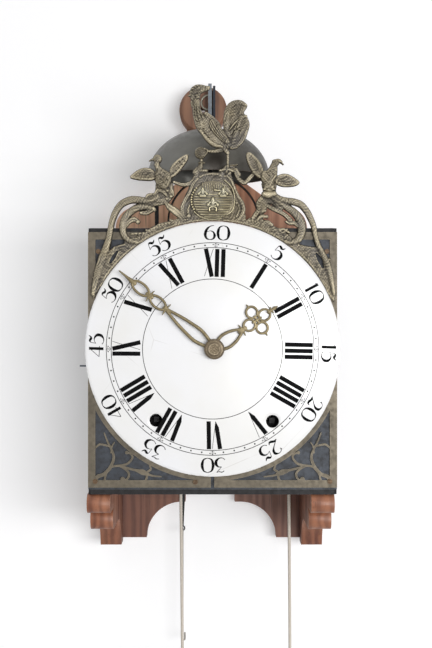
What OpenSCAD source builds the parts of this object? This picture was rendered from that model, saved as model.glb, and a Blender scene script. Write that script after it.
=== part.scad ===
// Comtoise clock movement with an enamel dial and a cast brass rooster crest, on its wall bracket.
// Millimetres. X to the right, Y into the wall, Z up. The wall face of the backboard is at Y = 0,
// the top of the two side brackets is at Z = 0, and X = 0 is halfway between them.

/* [Wall bracket] */
// Thickness of the backboard
board_t = 16; // [12:1:22]
// Half of the width over the two side brackets
bracket_half_w = 119.4; // [114:0.2:124]
// Thickness of one side bracket
bracket_t = 22.5; // [18:0.5:28]
// Depth of the top step of a side bracket, in front of the backboard
step_top_d = 156; // [146:1:160]
// Depth of its second step
step_mid_d = 124; // [112:1:134]
// Depth of its foot
step_foot_d = 21; // [16:1:40]
// Height of the top step
step_top_h = 18.5; // [16:0.5:22]
// Height of the second step
step_mid_h = 21.5; // [18:0.5:25]
// How far the side brackets reach down
bracket_drop = 73.5; // [66:0.5:84]
// How far the backboard's apron reaches down
apron_drop = 69.6; // [62:0.2:74]
// Radius of the two quarter rounds cut from the apron
apron_round = 39; // [30:1:44]
// Half of the width between the lower ends of the quarter rounds
apron_half_gap = 71; // [66:1:80]
// Half of the board's width at the shoulders
shoulder_half_w = 105; // [98:1:110]
// Height of the shoulders
shoulder_z = 293; // [286:1:300]
// Radius of the round head of the board
head_r = 26; // [22:0.5:30]
// Height of the centre of the head
head_z = 398.5; // [388:0.5:410]
// How far the head lies left of the middle
head_left = 9; // [0:0.5:14]
// Thickness of the head
head_t = 24; // [20:1:28]
// Radius of the hole that hangs the clock on the wall
hang_hole_r = 3; // [2:0.25:4.5]
// Radius of a bracket screw's shank
wood_screw_r = 2.2; // [1.8:0.1:2.8]

/* [Cage] */
// How far the clock lies right of the middle of the bracket
clock_x = 1.8; // [-3:0.1:5]
// Width of the front plate and of the top and bottom plates
cage_w = 240; // [234:1:250]
// Height of the cage with both plates
cage_h = 257; // [250:1:268]
// Depth of the cage
cage_d = 142; // [138:1:150]
// Space between the backboard and the cage, where the pendulum swings
pendulum_space = 10; // [9.5:0.5:16]
// Thickness of the top and bottom plates
plate_t = 5; // [4:0.5:7]
// Side of a square corner post
post_w = 8; // [6:0.5:10]
// Thickness of the front plate and the other sheets
sheet_t = 1.5; // [1:0.1:2]
// Thickness of the upright bars that carry the wheels
bar_t = 4; // [3:0.5:5]
// Width of such a bar
bar_w = 14; // [12:1:16]
// Thickness of a door
door_t = 1.2; // [0.8:0.1:1.6]
// Radius of a door's pivots
door_pivot_r = 1.5; // [1:0.1:2]

/* [Dial and hands] */
// Height of the middle of the dial
dial_z = 140.5; // [136:0.5:145]
// Radius of the dial
dial_r = 122.8; // [119:0.2:126]
// Thickness of the dial
dial_t = 2; // [1.6:0.1:2.6]
// How far the middle of the dial stands out
dial_dome = 3.5; // [2:0.5:5]
// Radius of a winding hole
winding_hole_r = 6.2; // [5.6:0.1:7.5]
// How far the hands lie right of the middle of the dial
hands_right = 1.7; // [0:0.1:2]
// Length of the minute hand from its centre
minute_len = 117.6; // [108:0.2:120]
// Length of the hour hand from its centre
hour_len = 73.2; // [66:0.2:80]
// Thickness of a hand
hand_t = 1.2; // [0.8:0.1:1.6]
// Radius of the round nut in the middle of the hands
hand_nut_r = 9.8; // [9:0.1:11]
// Thickness of the brass frames round the dial
frame_t = 2; // [1.4:0.1:2.6]
// Width of the frames' border
frame_w = 7; // [6:0.5:9]

/* [Bell] */
// Radius of the bell's mouth
bell_r = 62; // [56:1:66]
// Height of the bell
bell_h = 49.5; // [44:0.5:56]
// Thickness of the bell
bell_t = 3; // [2.4:0.1:4]
// Height of the bell's mouth over the cage
bell_rise = 57.5; // [54:0.5:63]
// Distance of the bell from the wall
bell_y = 100; // [92:1:106]
// Outer radius of the hoop under the bell
hoop_r = 47; // [44:0.5:50]
// Thickness of the hoop
hoop_t = 1.4; // [1.2:0.1:2]

/* [Trains] */
// Height of the axis of the winding drums
drum_z = 72; // [70:0.5:74]
// Distance of the going drum left of the dial's centre
going_left = 54.4; // [53:0.2:55]
// Distance of the striking drum right of the dial's centre
strike_right = 57.6; // [57:0.2:60]
// Height of the second wheel over the drum
second_rise = 58; // [57:0.5:59]
// Radius of a drum's core
drum_r = 19; // [17:0.2:20]
// Diameter of the weight cords
cord_d = 3.2; // [2.4:0.2:3.6]
// Turns of cord on a drum
drum_turns = 7; // [4:1:10]
// Thickness of a wheel
wheel_t = 2.5; // [2:0.1:3]
// Radius of an arbor
arbor_r = 2; // [1.6:0.1:2.4]
// Radius of the pivot at each end of an arbor
pivot_r = 1.2; // [0.9:0.1:1.5]
// Distance of the verge left of the dial's centre
verge_left = 31.8; // [31:0.2:33]
// Height of the verge over the middle of the dial
verge_rise = 99.5; // [99:0.5:101]
// Radius of the crown wheel
crown_r = 18; // [16:0.5:19]
// How far the pendulum's blade reaches below the bracket's top
pendulum_drop = 57; // [50:1:68]
// Length of the wire link under the pendulum's blade
link_len = 122; // [90:1:124]

/* [Crest] */
// Thickness of the cast crest
crest_t = 3; // [2.4:0.1:4]
// Thickness of the rooster's body
rooster_t = 10; // [8:0.5:14]
// Half of the medallion's width
medallion_rx = 21; // [18:0.5:23]
// Half of the medallion's height
medallion_ry = 18.5; // [16:0.5:20]

/* [Hidden] */
$fn = 48;

// clearances and small fits
run_gap = 0.08;
slide_gap = 0.15;
free_gap = 0.3;

// colours
wood = "#6b4a40";
iron = "#3a3b3d";
blued = "#4b4d50";
brass = "#8a7f68";
bright_brass = "#a8935e";
steel = "#8b9297";
enamel = "#f6f5f1";
linen = "#b8ada0";
bronze = "#4a4843";

// planes of the cage, front is negative
cage_back = -(board_t + pendulum_space);
cage_front = cage_back - cage_d;
cage_left = clock_x - cage_w / 2;
cage_right = clock_x + cage_w / 2;
cage_top = cage_h - plate_t;
plate_back = cage_front + sheet_t;
post_inset = 5;
post_out = cage_w / 2 - post_inset;
post_front = plate_back;

// layers of the movement from front to back
hand_x = clock_x + hands_right;
bar_front = cage_front + 22;
bar_back = bar_front + bar_t;
rear_bar_back = cage_back - 22;
rear_bar_front = rear_bar_back - bar_t;
hour_y = bar_front - 13;
reverse_y = bar_front - 9;
motion_y = bar_front - 5;
snail_y = hour_y - 2.5;
great_y = bar_back + 6;
second_y = rear_bar_front - 14;
contrate_y = cage_front + 50;
warning_y = cage_front + 58;

// centres of the arbors, as X and Z
going_x = clock_x - going_left;
strike_x = clock_x + strike_right;
verge_x = clock_x - verge_left;
verge_z = dial_z + verge_rise;
dial_c = [hand_x, dial_z];
drum_c = [going_x, drum_z];
second_c = [going_x, drum_z + second_rise];
third_c = [verge_x, verge_z - 60.4];
strike_drum_c = [strike_x, drum_z - 1];
pin_c = [strike_x, strike_drum_c[1] + second_rise];
warning_c = [strike_x, pin_c[1] + 46];
fly_c = [strike_x, warning_c[1] + 40];
reverser_drop = 26.4;
reverser_c = [hand_x, dial_z - reverser_drop];
hammer_c = [going_x - 4, verge_z - 25];
hammer_side = 22;
hammer_y = -(bell_y - hammer_side);

// counts of teeth
great_n = 80;
second_leaves = 10;
second_n = 70;
third_leaves = 7;
contrate_n = 72;
crown_leaves = 6;
crown_n = 25;
motion_n = 42;
minute_n = 24;
cannon_n = 12;
reverser_n = 36;
reverser_leaves = 10;
hour_n = 40;
pin_n = 64;
warning_leaves = 8;
warning_n = 60;
fly_leaves = 6;

// pitch modules, from the distance between two arbors and their teeth
function dist(a, b) = norm(a - b);
function module_of(a, b, teeth_a, teeth_b) = 2 * dist(a, b) / (teeth_a + teeth_b);
great_m = module_of(drum_c, second_c, great_n, second_leaves);
second_m = module_of(second_c, third_c, second_n, third_leaves);
motion_m = module_of(second_c, dial_c, motion_n, minute_n);
cannon_m = module_of(dial_c, reverser_c, cannon_n, reverser_n);
hour_m = module_of(dial_c, reverser_c, hour_n, reverser_leaves);
strike_m = module_of(strike_drum_c, pin_c, great_n, second_leaves);
pin_m = module_of(pin_c, warning_c, pin_n, warning_leaves);
warning_m = module_of(warning_c, fly_c, warning_n, fly_leaves);
contrate_m = 0.9;
contrate_r = contrate_m * contrate_n / 2;
crown_pitch_r = contrate_m * crown_leaves / 2;
crown_y = contrate_y;
crown_pinion_z = third_c[1] + contrate_r;
crown_tip_z = verge_z - 5;

// weight cords
cord_r = cord_d / 2;
winding_seat = 0.16;
winding_r = drum_r + cord_r + winding_seat;
winding_pitch = cord_d + 0.5;
winding_back = -76;
// the hanging cord leaves the bare core of the drum beside the last turn
cord_off = drum_r + cord_r + free_gap;
cord_y = winding_back - (drum_turns + 1) * winding_pitch;
cord_end_z = -168;
going_cord_route = [[going_x + cord_off, cord_y, drum_z], [going_x + cord_off + 0.3, cord_y, 40],
    [-30.9, cord_y, 0], [-30.2, cord_y, -60], [-29.6, cord_y, -120], [-29.2, cord_y, cord_end_z]];
strike_cord_route = [[strike_x + cord_off, cord_y, drum_z - 1],
    [strike_x + cord_off - 0.2, cord_y, 40],
    [79.4, cord_y, 0], [79.8, cord_y, -60], [80.2, cord_y, -120], [80.5, cord_y, cord_end_z]];

// pendulum
pendulum_y = cage_back + 5;
blade_t = 1.6;
blade_end_z = -pendulum_drop;
link_z = blade_end_z - 1.6;
link_x = verge_x - 1.3;
link_r = 0.9;

// dial
dial_back = cage_front - frame_t;
dial_front = dial_back - dial_t;
pipe_r = 4.6;
minute_pipe_r = 3;

// extrudes a shape drawn in X and Z from one depth to another, the front one first
module along_y(front, back) {
    translate([0, back, 0]) rotate([90, 0, 0]) linear_extrude(back - front) children();
}

// the same, with each shape extruded on its own and then joined
module each_along_y(front, back) {
    for (i = [0 : $children - 1]) along_y(front, back) children(i);
}

// round rod along Y through a point given as X and Z
module rod_y(c, front, back, r) {
    translate([c[0], back, c[1]]) rotate([90, 0, 0]) cylinder(h = back - front, r = r);
}

// upright round rod
module rod_z(x, y, low, high, r) {
    translate([x, y, low]) cylinder(h = high - low, r = r);
}

module block(low, high) {
    translate(low) cube(high - low);
}

// points of a smooth curve through a few chosen points
function spline_point(a, b, c, d, t) = 0.5 * ((2 * b) + (c - a) * t
    + (2 * a - 5 * b + 4 * c - d) * t * t + (3 * b - a - 3 * c + d) * t * t * t);
function curve(p, steps = 5) = let (n = len(p)) [
    for (i = [0 : n - 2]) for (k = [0 : steps - 1])
        spline_point(p[max(i - 1, 0)], p[i], p[i + 1], p[min(i + 2, n - 1)], k / steps),
    p[n - 1]];
function closed_curve(p, steps = 4) = let (n = len(p)) [
    for (i = [0 : n - 1]) for (k = [0 : steps - 1])
        spline_point(p[(i + n - 1) % n], p[i], p[(i + 1) % n], p[(i + 2) % n], k / steps)];

// a strip of changing width that follows a curve
function side_of(p, i) = let (n = len(p), a = p[max(i - 1, 0)], b = p[min(i + 1, n - 1)],
    d = (b - a) / norm(b - a)) [-d[1], d[0]];
function width_at(i, n, w0, w1, w2) = let (t = i / (n - 1))
    t < 0.5 ? w0 + (w1 - w0) * 2 * t : w1 + (w2 - w1) * (2 * t - 1);
module band(points, w0, w1, w2, steps = 5) {
    p = curve(points, steps);
    n = len(p);
    polygon([
        for (i = [0 : n - 1]) p[i] + side_of(p, i) * width_at(i, n, w0, w1, w2) / 2,
        for (i = [n - 1 : -1 : 0]) p[i] - side_of(p, i) * width_at(i, n, w0, w1, w2) / 2]);
}

// loose clock teeth: thin trapezoids, so that wheel and pinion clear each other all the way round
tooth_share = 0.36;
function tooth(a, step, root, tip, share) = [
    for (q = [[root, -share * 0.56], [tip, -share * 0.26], [tip, share * 0.26], [root, share * 0.56]])
        [q[0] * cos(a + q[1] * step), q[0] * sin(a + q[1] * step)]];
module gear_shape(teeth, m, toward, on_tooth) {
    step = 360 / teeth;
    r = teeth * m / 2;
    share = tooth_share;
    start = toward + (on_tooth ? 0 : step / 2);
    polygon([for (i = [0 : teeth - 1])
        each tooth(start + i * step, step, r - 1.05 * m, r + 0.75 * m, share)]);
}
function bearing(from, to) = atan2(to[1] - from[1], to[0] - from[0]);

// wheel with spokes and a bore for its arbor
module wheel(c, front, teeth, m, toward, on_tooth, bore, spokes = 4) {
    r = teeth * m / 2;
    rim = r - 1.05 * m - 4;
    translate([c[0], 0, c[1]]) along_y(front, front + wheel_t) difference() {
        gear_shape(teeth, m, toward, on_tooth);
        difference() {
            circle(r = rim);
            circle(r = bore + 4.5);
            for (k = [0 : spokes - 1])
                rotate(45 + k * 360 / spokes) translate([0, -2.5]) square([rim + 1, 5]);
        }
        circle(r = bore);
    }
}

// arbor along Y with a thinner pivot at each end, running in the front and back bars
module arbor(c, front = bar_front, back = rear_bar_back, r = arbor_r) {
    rod_y(c, bar_back + 0.4, rear_bar_front - 0.4, r);
    rod_y(c, front, back, pivot_r);
}
module pinion(c, front, back, leaves, m, toward, on_tooth) {
    translate([c[0], 0, c[1]]) along_y(front, back) gear_shape(leaves, m, toward, on_tooth);
}
module pivot_hole(c, front, back, r = pivot_r) {
    rod_y(c, front - 1, back + 1, r + run_gap);
}

// Wooden wall bracket

neck_half_w = 18;
notch_left = 28.4;
notch_right = 25.5;
notch_top = -10;
board_low_top = 12;
module backboard() {
    color(wood) difference() {
        union() {
            along_y(-board_t, 0) difference() {
                union() {
                    polygon([
                        [-bracket_half_w, -apron_drop], [bracket_half_w, -apron_drop],
                        [bracket_half_w, board_low_top], [shoulder_half_w, board_low_top + 14],
                        [shoulder_half_w, shoulder_z - 23], [shoulder_half_w - 23, shoulder_z],
                        [54.5, shoulder_z + 13.7], [38.6, shoulder_z + 25.2],
                        [neck_half_w - head_left, shoulder_z + 42], [neck_half_w - head_left, head_z],
                        [-neck_half_w - head_left, head_z], [-neck_half_w - head_left, shoulder_z + 42],
                        [-38.6, shoulder_z + 25.2], [-54.5, shoulder_z + 13.7],
                        [23 - shoulder_half_w, shoulder_z], [-shoulder_half_w, shoulder_z - 23],
                        [-shoulder_half_w, board_low_top + 14], [-bracket_half_w, board_low_top]]);
                    for (side = [-1, 1])
                        translate([side * (shoulder_half_w - 23), shoulder_z - 23]) circle(r = 23);
                }
                for (side = [-1, 1])
                    translate([side * (apron_half_gap - apron_round), -apron_drop])
                        circle(r = apron_round);
                translate([apron_round - apron_half_gap, -apron_drop - 1])
                    square([2 * (apron_half_gap - apron_round), apron_round + 1]);
                translate([-notch_left, -apron_drop])
                    square([notch_left + notch_right, apron_drop + notch_top]);
            }
            rod_y([-head_left, head_z], 3 - head_t, 0, head_r);
            translate([-head_left, 3 - head_t, head_z]) rotate([90, 0, 0])
                cylinder(h = 3, r1 = head_r, r2 = head_r - 3);
        }
        rod_y([-head_left, head_z], -head_t - 1, 1, hang_hole_r);
        bracket_screw_places() {
            rod_y([0, 0], -board_t - 1, 1, wood_screw_r);
            translate([0, 0.01, 0]) rotate([90, 0, 0]) cylinder(h = 3, r1 = 4.6, r2 = wood_screw_r);
        }
    }
}

bracket_screw_z = [-12, -56];
module bracket_screw_places() {
    for (side = [-1, 1]) for (z = bracket_screw_z)
        translate([side * (bracket_half_w - bracket_t / 2), 0, z]) children();
}
module bracket_screws() {
    color(steel) bracket_screw_places() {
        rod_y([0, 0], -board_t - 16, -0.5, wood_screw_r);
        translate([0, 0.01, 0]) rotate([90, 0, 0])
            difference() {
                cylinder(h = 3, r1 = 4.6, r2 = wood_screw_r);
                translate([-5, -0.4, -1]) cube([10, 0.8, 1.9]);
                translate([-5, -5, -1]) cube([10, 10, 1.01]);
            }
    }
}

// side view of a bracket: two rounded steps, a cove and a foot
module bracket_side() {
    r1 = step_top_h / 2;
    r2 = step_mid_h / 2;
    mid_z = -step_top_h - step_mid_h;
    cove_r = bracket_drop + mid_z + 6.5;
    difference() {
        union() {
            polygon([[0, 0], [-step_top_d + r1, 0], [-step_top_d + r1, -step_top_h],
                [-step_mid_d + r2, -step_top_h], [-step_mid_d + r2, mid_z],
                [-step_foot_d - cove_r, mid_z], [-step_foot_d - cove_r, -bracket_drop],
                [0, -bracket_drop]]);
            translate([-step_top_d + r1, -r1]) circle(r = r1);
            translate([-step_mid_d + r2, -step_top_h - r2]) circle(r = r2);
        }
        translate([-step_foot_d - cove_r, mid_z - cove_r]) circle(r = cove_r);
    }
}
module side_bracket(side) {
    low_x = side < 0 ? -bracket_half_w : bracket_half_w - bracket_t;
    color(wood) difference() {
        translate([low_x, -board_t, 0]) rotate([90, 0, 90])
            linear_extrude(bracket_t) bracket_side();
        bracket_screw_places() rod_y([0, 0], -board_t - 16, 1, wood_screw_r);
    }
}
module side_bracket_left() side_bracket(-1);
module side_bracket_right() side_bracket(1);

// Cage

bar_places = [going_x, verge_x, hand_x, strike_x];
narrow_bar_w = 10;
function bar_width(x) = x == verge_x ? narrow_bar_w : bar_w;
tenon_w = 6;
cord_hole_r = 7;
module bar_tenon_holes(low) {
    for (x = bar_places)
        block([x - tenon_w / 2, bar_front, low - 1], [x + tenon_w / 2, bar_back, low + plate_t + 1]);
    for (x = [going_x, verge_x, strike_x])
        block([x - tenon_w / 2, rear_bar_front, low - 1],
            [x + tenon_w / 2, rear_bar_back, low + plate_t + 1]);
}
door_axis_x = cage_w / 2 - 3;
door_axis_y = cage_back - 3.4;
module door_pivot_holes() {
    for (side = [-1, 1]) translate([clock_x + side * door_axis_x, door_axis_y, -1])
        cylinder(h = cage_h + 2, r = door_pivot_r + run_gap);
}
module plate_outline() {
    corner = 3;
    polygon([
        [cage_left + corner, cage_front], [cage_right - corner, cage_front],
        [cage_right, cage_front + corner], [cage_right, cage_back - corner],
        [cage_right - 2, cage_back], [cage_left + 2, cage_back],
        [cage_left, cage_back - corner], [cage_left, cage_front + corner]]);
}
module bottom_plate() {
    color(iron) difference() {
        linear_extrude(plate_t) plate_outline();
        for (x = [going_x, strike_x])
            translate([x + cord_off, cord_y, -1]) cylinder(h = plate_t + 2, r = cord_hole_r);
        bar_tenon_holes(0);
        door_pivot_holes();
    }
}

hammer_slot = [-4.5, 14];
hoop_x = clock_x + 0.7;
hoop_foot = 13;
hoop_bolt_r = 2;
hoop_w = 9;
module hoop_bolt_places() {
    for (side = [-1, 1])
        translate([hoop_x + side * (hoop_r + hoop_foot - 5), -bell_y, 0]) children();
}
module top_plate() {
    color(iron) difference() {
        translate([0, 0, cage_top]) linear_extrude(plate_t) plate_outline();
        bar_tenon_holes(cage_top);
        door_pivot_holes();
        block([hammer_c[0] + hammer_slot[0], hammer_y - 4, cage_top - 1],
            [hammer_c[0] + hammer_slot[1], hammer_y + 4, cage_h + 1]);
        hoop_bolt_places()
            translate([0, 0, cage_top - 1]) cylinder(h = plate_t + 2, r = hoop_bolt_r);
        for (x = [verge_x - 5, verge_x + 5])
            translate([x, cage_back - 5, cage_top - 1]) cylinder(h = plate_t + 2, r = 1.5);
    }
}

// the front left post has a notch in front, where the trip lever passes
lever_play = [-13, 7];
screw_reach = 5;
module corner_posts() {
    left_x = clock_x - post_out;
    color(iron) difference() {
        for (side = [-1, 1]) for (y = [post_front, cage_back - post_w]) {
            x = clock_x + side * (post_out - post_w / 2);
            block([x - post_w / 2, y, plate_t], [x + post_w / 2, y + post_w, cage_top]);
        }
        block([left_x - 1, post_front - 1, lever_c[1] + lever_play[0]],
            [left_x + post_w + 1, post_front + 3.3, lever_c[1] + lever_play[1]]);
        frame_screw_places() rod_y([0, 0], plate_back - 1, plate_back + screw_reach, frame_screw_r);
    }
}

lever_c = [hand_x + 16.5, dial_z - 16.5];
dial_foot_places = [[-60, 60], [78, 20], [-20, -84]];
module front_plate() {
    color(blued) difference() {
        union() {
            along_y(cage_front, plate_back) difference() {
                translate([cage_left, plate_t]) square([cage_w, cage_top - plate_t]);
                translate(dial_c) circle(r = 13);
                for (c = [drum_c, strike_drum_c]) translate(c) circle(r = winding_hole_r + 2);
                for (p = dial_foot_places) translate([clock_x, dial_z] + p) circle(r = 1.5);
            }
            rod_y(lever_c, plate_back, plate_back + 3.6, 2);
        }
        frame_screw_places() rod_y([0, 0], cage_front - 1, plate_back + 1, frame_screw_r);
    }
}

rack_x = hand_x + 32.5;
rack_w = 6;
rack_front = bar_front - 11.5;
rack_back = bar_front - 7.5;
guide_z = [70, 186];
// one upright bar, with a tenon in each plate
module bar(x, front) {
    w = bar_width(x);
    block([x - w / 2, front, plate_t], [x + w / 2, front + bar_t, cage_top]);
    block([x - tenon_w / 2, front, 0], [x + tenon_w / 2, front + bar_t, cage_h]);
}
module front_bars() {
    color(iron) {
        difference() {
            bar(going_x, bar_front);
            rod_y(drum_c, bar_front - 1, bar_back + 1, 3 + run_gap);
            rod_y(second_c, bar_front - 1, bar_back + 1, arbor_r + run_gap);
            pivot_hole(hammer_c, bar_front, bar_back);
        }
        difference() {
            bar(verge_x, bar_front);
            pivot_hole(third_c, bar_front, bar_back);
            pivot_hole([verge_x, verge_z], bar_front, bar_back);
            for (z = cock_bolt_z) rod_y([verge_x, z], bar_front - 1, bar_back + 1, cock_bolt_r);
        }
        union() {
            bar(hand_x, bar_front);
            rod_y(dial_c, minute_front + 1, bar_front, minute_bore);
            rod_y(reverser_c, hour_y - 1.4, bar_front, arbor_r);
        }
        difference() {
            union() {
                bar(strike_x, bar_front);
                for (z = guide_z) {
                    block([rack_x - rack_w / 2 - 3, bar_front, z], [strike_x - 2, bar_back, z + 6]);
                    block([rack_x - rack_w / 2 - 3, rack_front - 3, z],
                        [rack_x + rack_w / 2 + 3, bar_front, z + 6]);
                }
            }
            for (z = guide_z)
                block([rack_x - rack_w / 2 - slide_gap, rack_front - slide_gap, z - 1],
                    [rack_x + rack_w / 2 + slide_gap, rack_back + slide_gap, z + 7]);
            rod_y(strike_drum_c, bar_front - 1, bar_back + 1, 3 + run_gap);
            for (c = [pin_c, warning_c, fly_c]) pivot_hole(c, bar_front, bar_back);
        }
    }
}
module back_bars() {
    color(iron) {
        difference() {
            bar(going_x, rear_bar_front);
            for (c = [drum_c, second_c, hammer_c]) pivot_hole(c, rear_bar_front, rear_bar_back);
        }
        difference() {
            bar(verge_x, rear_bar_front);
            pivot_hole(third_c, rear_bar_front, rear_bar_back);
            rod_y([verge_x, verge_z], rear_bar_front - 1, rear_bar_back + 1, verge_r + run_gap);
        }
        difference() {
            bar(strike_x, rear_bar_front);
            for (c = [strike_drum_c, pin_c, warning_c, fly_c])
                pivot_hole(c, rear_bar_front, rear_bar_back);
        }
    }
}

module back_sheet() {
    color(iron) along_y(cage_back - 4, cage_back - 4 + sheet_t) difference() {
        translate([clock_x - post_out + post_w, plate_t])
            square([2 * (post_out - post_w), cage_top - plate_t]);
        translate([verge_x, verge_z]) circle(r = 5);
    }
}

// sheet door, turning on two pivots in the plates; the left one has a notch round the trip lever
door_front = plate_back + 0.7;
module door(side) {
    x = clock_x + side * door_axis_x;
    color(iron) union() {
        difference() {
            block([x - door_t / 2, door_front, plate_t + free_gap],
                [x + door_t / 2, door_axis_y + 1.2, cage_top - free_gap]);
            if (side < 0)
                block([x - 2, door_front - 1, lever_c[1] + lever_play[0]],
                    [x + 2, door_front + 16, lever_c[1] + lever_play[1]]);
        }
        rod_z(x, door_axis_y, 1, cage_h - 1, door_pivot_r);
    }
}
module door_left() door(-1);
module door_right() door(1);

// Dial, frames and crest

dial_curve_r = (dial_r * dial_r + dial_dome * dial_dome) / (2 * dial_dome);
function dome_at(r) = sqrt(dial_curve_r * dial_curve_r - r * r) - dial_curve_r + dial_dome;
dial_rings = 8;
module dial() {
    color(enamel) union() {
        difference() {
            translate([clock_x, dial_back, dial_z]) rotate([90, 0, 0]) rotate_extrude($fn = 96)
                polygon([
                    for (k = [0 : dial_rings]) let (r = dial_r * k / dial_rings)
                        [r, dial_t + dome_at(r)],
                    for (k = [dial_rings : -1 : 0]) let (r = dial_r * k / dial_rings)
                        [r, dome_at(r)]]);
            rod_y(dial_c, cage_front - 20, cage_front, pipe_r + 1.4);
            for (c = [drum_c, strike_drum_c]) rod_y(c, cage_front - 20, cage_front, winding_hole_r);
        }
        for (p = dial_foot_places)
            rod_y([clock_x, dial_z] + p, dial_back - dome_at(norm(p)) - 0.5, plate_back, 1.5);
    }
}

frame_gap = 3.4;
frame_low = plate_t + 2;
frame_high = cage_top + 1;
frame_arc_w = 4.5;
frame_screw_r = 1.3;
module frame_screw_places() {
    for (p = [[cage_left + 7, frame_low + 6], [cage_right - 7, frame_low + 6],
        [clock_x - 16.6, frame_low + 5.4], [clock_x - 110, 234.4], [clock_x + 110, 234.4]])
        translate([p[0], 0, p[1]]) children();
}
// scrollwork of a lower corner, drawn for the left side from the dial's axis
module scrollwork() {
    band([[-114, 13], [-110.6, 17.5], [-104.3, 20], [-98.2, 27.1], [-95.2, 35.7], [-97.3, 43.4],
        [-100.8, 50.2], [-104.6, 59.8]], 4, 2.6, 1, 4);
    band([[-113.6, 44.6], [-111.4, 46.7], [-107.7, 48.6], [-99.4, 46.6]], 1.4, 1.8, 1.6, 4);
    band([[-97.6, 40], [-97, 46.3], [-94.3, 50.7]], 1.4, 1.3, 0.8, 4);
    band([[-100, 25.2], [-95.7, 27.3], [-87, 28.4], [-81.1, 30.5], [-77.2, 35.7], [-78.5, 39.1],
        [-82.2, 40.7]], 1.8, 2, 1.5, 4);
    translate([-82.6, 40.6]) circle(r = 1.6);
    band([[-90, 28.2], [-81.1, 25.3], [-70.8, 22.9], [-64, 20.4], [-58.8, 18.5], [-49.3, 17.3]],
        1.6, 2.4, 1, 4);
    band([[-74, 23.4], [-67.3, 21.7], [-61, 19.2]], 1.6, 5.4, 2, 4);
    band([[-90, 28], [-84.1, 24.6], [-80.7, 20.7], [-81.5, 15.9], [-85.6, 13.4]], 1.6, 2, 1.6, 4);
    translate([-86.6, 15]) circle(r = 2.1);
    band([[-65, 20.4], [-61.3, 23], [-59.5, 24.8], [-60.8, 29]], 1.8, 2, 1.2, 3);
    band([[-64, 21.5], [-63.4, 16.3], [-66.6, 11]], 1.8, 2, 1.6, 3);
    band([[-104.3, 13], [-102.4, 20.4], [-98.2, 25.4]], 2, 1.6, 2, 3);
}
module frame_border() {
    half = cage_w / 2;
    difference() {
        translate([-half, frame_low]) square([half - frame_gap / 2, frame_high - frame_low]);
        translate([-half + frame_w, frame_low + frame_w])
            square([half, frame_high - frame_low - 2 * frame_w]);
    }
    difference() {
        translate([0, dial_z]) circle(r = dial_r + frame_arc_w);
        translate([-frame_gap / 2, 0]) square([2 * half, 2 * cage_h]);
        translate([-2 * half, 0]) square([half, 2 * cage_h]);
        translate([-half, frame_high]) square([half, cage_h]);
    }
}
// the left frame, drawn from the dial's axis
module frame_half() {
    front = cage_front - frame_t;
    difference() {
        each_along_y(front, cage_front) {
            frame_border();
            scrollwork();
        }
        rod_y([0, dial_z], front - 1, cage_front + 1, dial_r - 5);
    }
}
module frame_left() {
    color(brass) difference() {
        translate([clock_x, 0, 0]) frame_half();
        frame_screw_places() rod_y([0, 0], cage_front - 20, cage_front + 1, frame_screw_r);
    }
}
module frame_right() {
    color(brass) difference() {
        translate([clock_x, 0, 0]) mirror([1, 0, 0]) frame_half();
        frame_screw_places() rod_y([0, 0], cage_front - 20, cage_front + 1, frame_screw_r);
    }
}
module frame_screws() {
    color(steel) frame_screw_places() {
        rod_y([0, 0], cage_front - frame_t - 1, plate_back + screw_reach, frame_screw_r);
        difference() {
            rod_y([0, 0], cage_front - frame_t - 1.4, cage_front - frame_t, 2.4);
            block([-3, cage_front - frame_t - 2, -0.3], [3, cage_front - frame_t - 0.9, 0.3]);
        }
    }
}

crest_back = dial_back;
// strips of the crest: points in X and Z, then the width at the start, middle and end
crest_strips_mid = [
    [[[-28.6, 317.4], [-26.6, 303], [-19.9, 301], [-13.2, 309.7]], 5, 7, 5],
    [[[13.8, 312.6], [24.3, 303], [34.9, 304.9], [39.7, 317.4]], 5, 7, 5],
    [[[-22, 300], [-28, 290], [-27, 278], [-20, 266]], 5, 7, 8],
    [[[26, 300], [32, 290], [31, 278], [25, 266]], 5, 7, 8]];
crest_strips_left = [
    [[[-48, 284], [-58.4, 279.9], [-70.3, 284.7], [-80.5, 284.7], [-90.5, 276.5], [-95.2, 266.4],
        [-98.7, 249.5], [-102.6, 234.7], [-108, 226]], 9, 7, 7],
    [[[-52, 272], [-62, 264], [-70.9, 263.6], [-80.5, 267.7], [-86, 258], [-82, 248], [-74, 245]],
        10, 6, 5],
    [[[-44, 292], [-52, 282], [-50, 268], [-42, 256]], 10, 16, 12],
    [[[-32, 304], [-36, 290], [-38, 276], [-34, 262]], 5, 9, 12]];
crest_strips_right = [
    [[[50, 288], [62.8, 280.8], [79.1, 284], [89.6, 280.4], [96.9, 271.5], [101.3, 258.2],
        [104.1, 245.8], [109.9, 234.7], [112, 226]], 9, 7, 7],
    [[[56, 274], [66, 268], [74.9, 267.9], [85.9, 264.2], [89.7, 256.8], [87, 246], [79, 242]],
        10, 6, 5],
    [[[48, 294], [56, 284], [54, 270], [46, 256]], 10, 16, 12],
    [[[36, 304], [40, 290], [42, 276], [38, 262]], 5, 9, 12]];
left_bird = closed_curve([[-58.8, 321.2], [-54, 327.2], [-48, 325], [-45.5, 317], [-40, 311.5],
    [-33, 320], [-24, 327], [-22.4, 321], [-28, 313], [-36.5, 306.5], [-37.5, 298], [-41, 288],
    [-47, 284], [-48.5, 300], [-54, 303.4], [-66, 302], [-77.6, 305], [-70, 313], [-58, 313.4],
    [-50.5, 312.5], [-52, 319.6]]);
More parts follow.
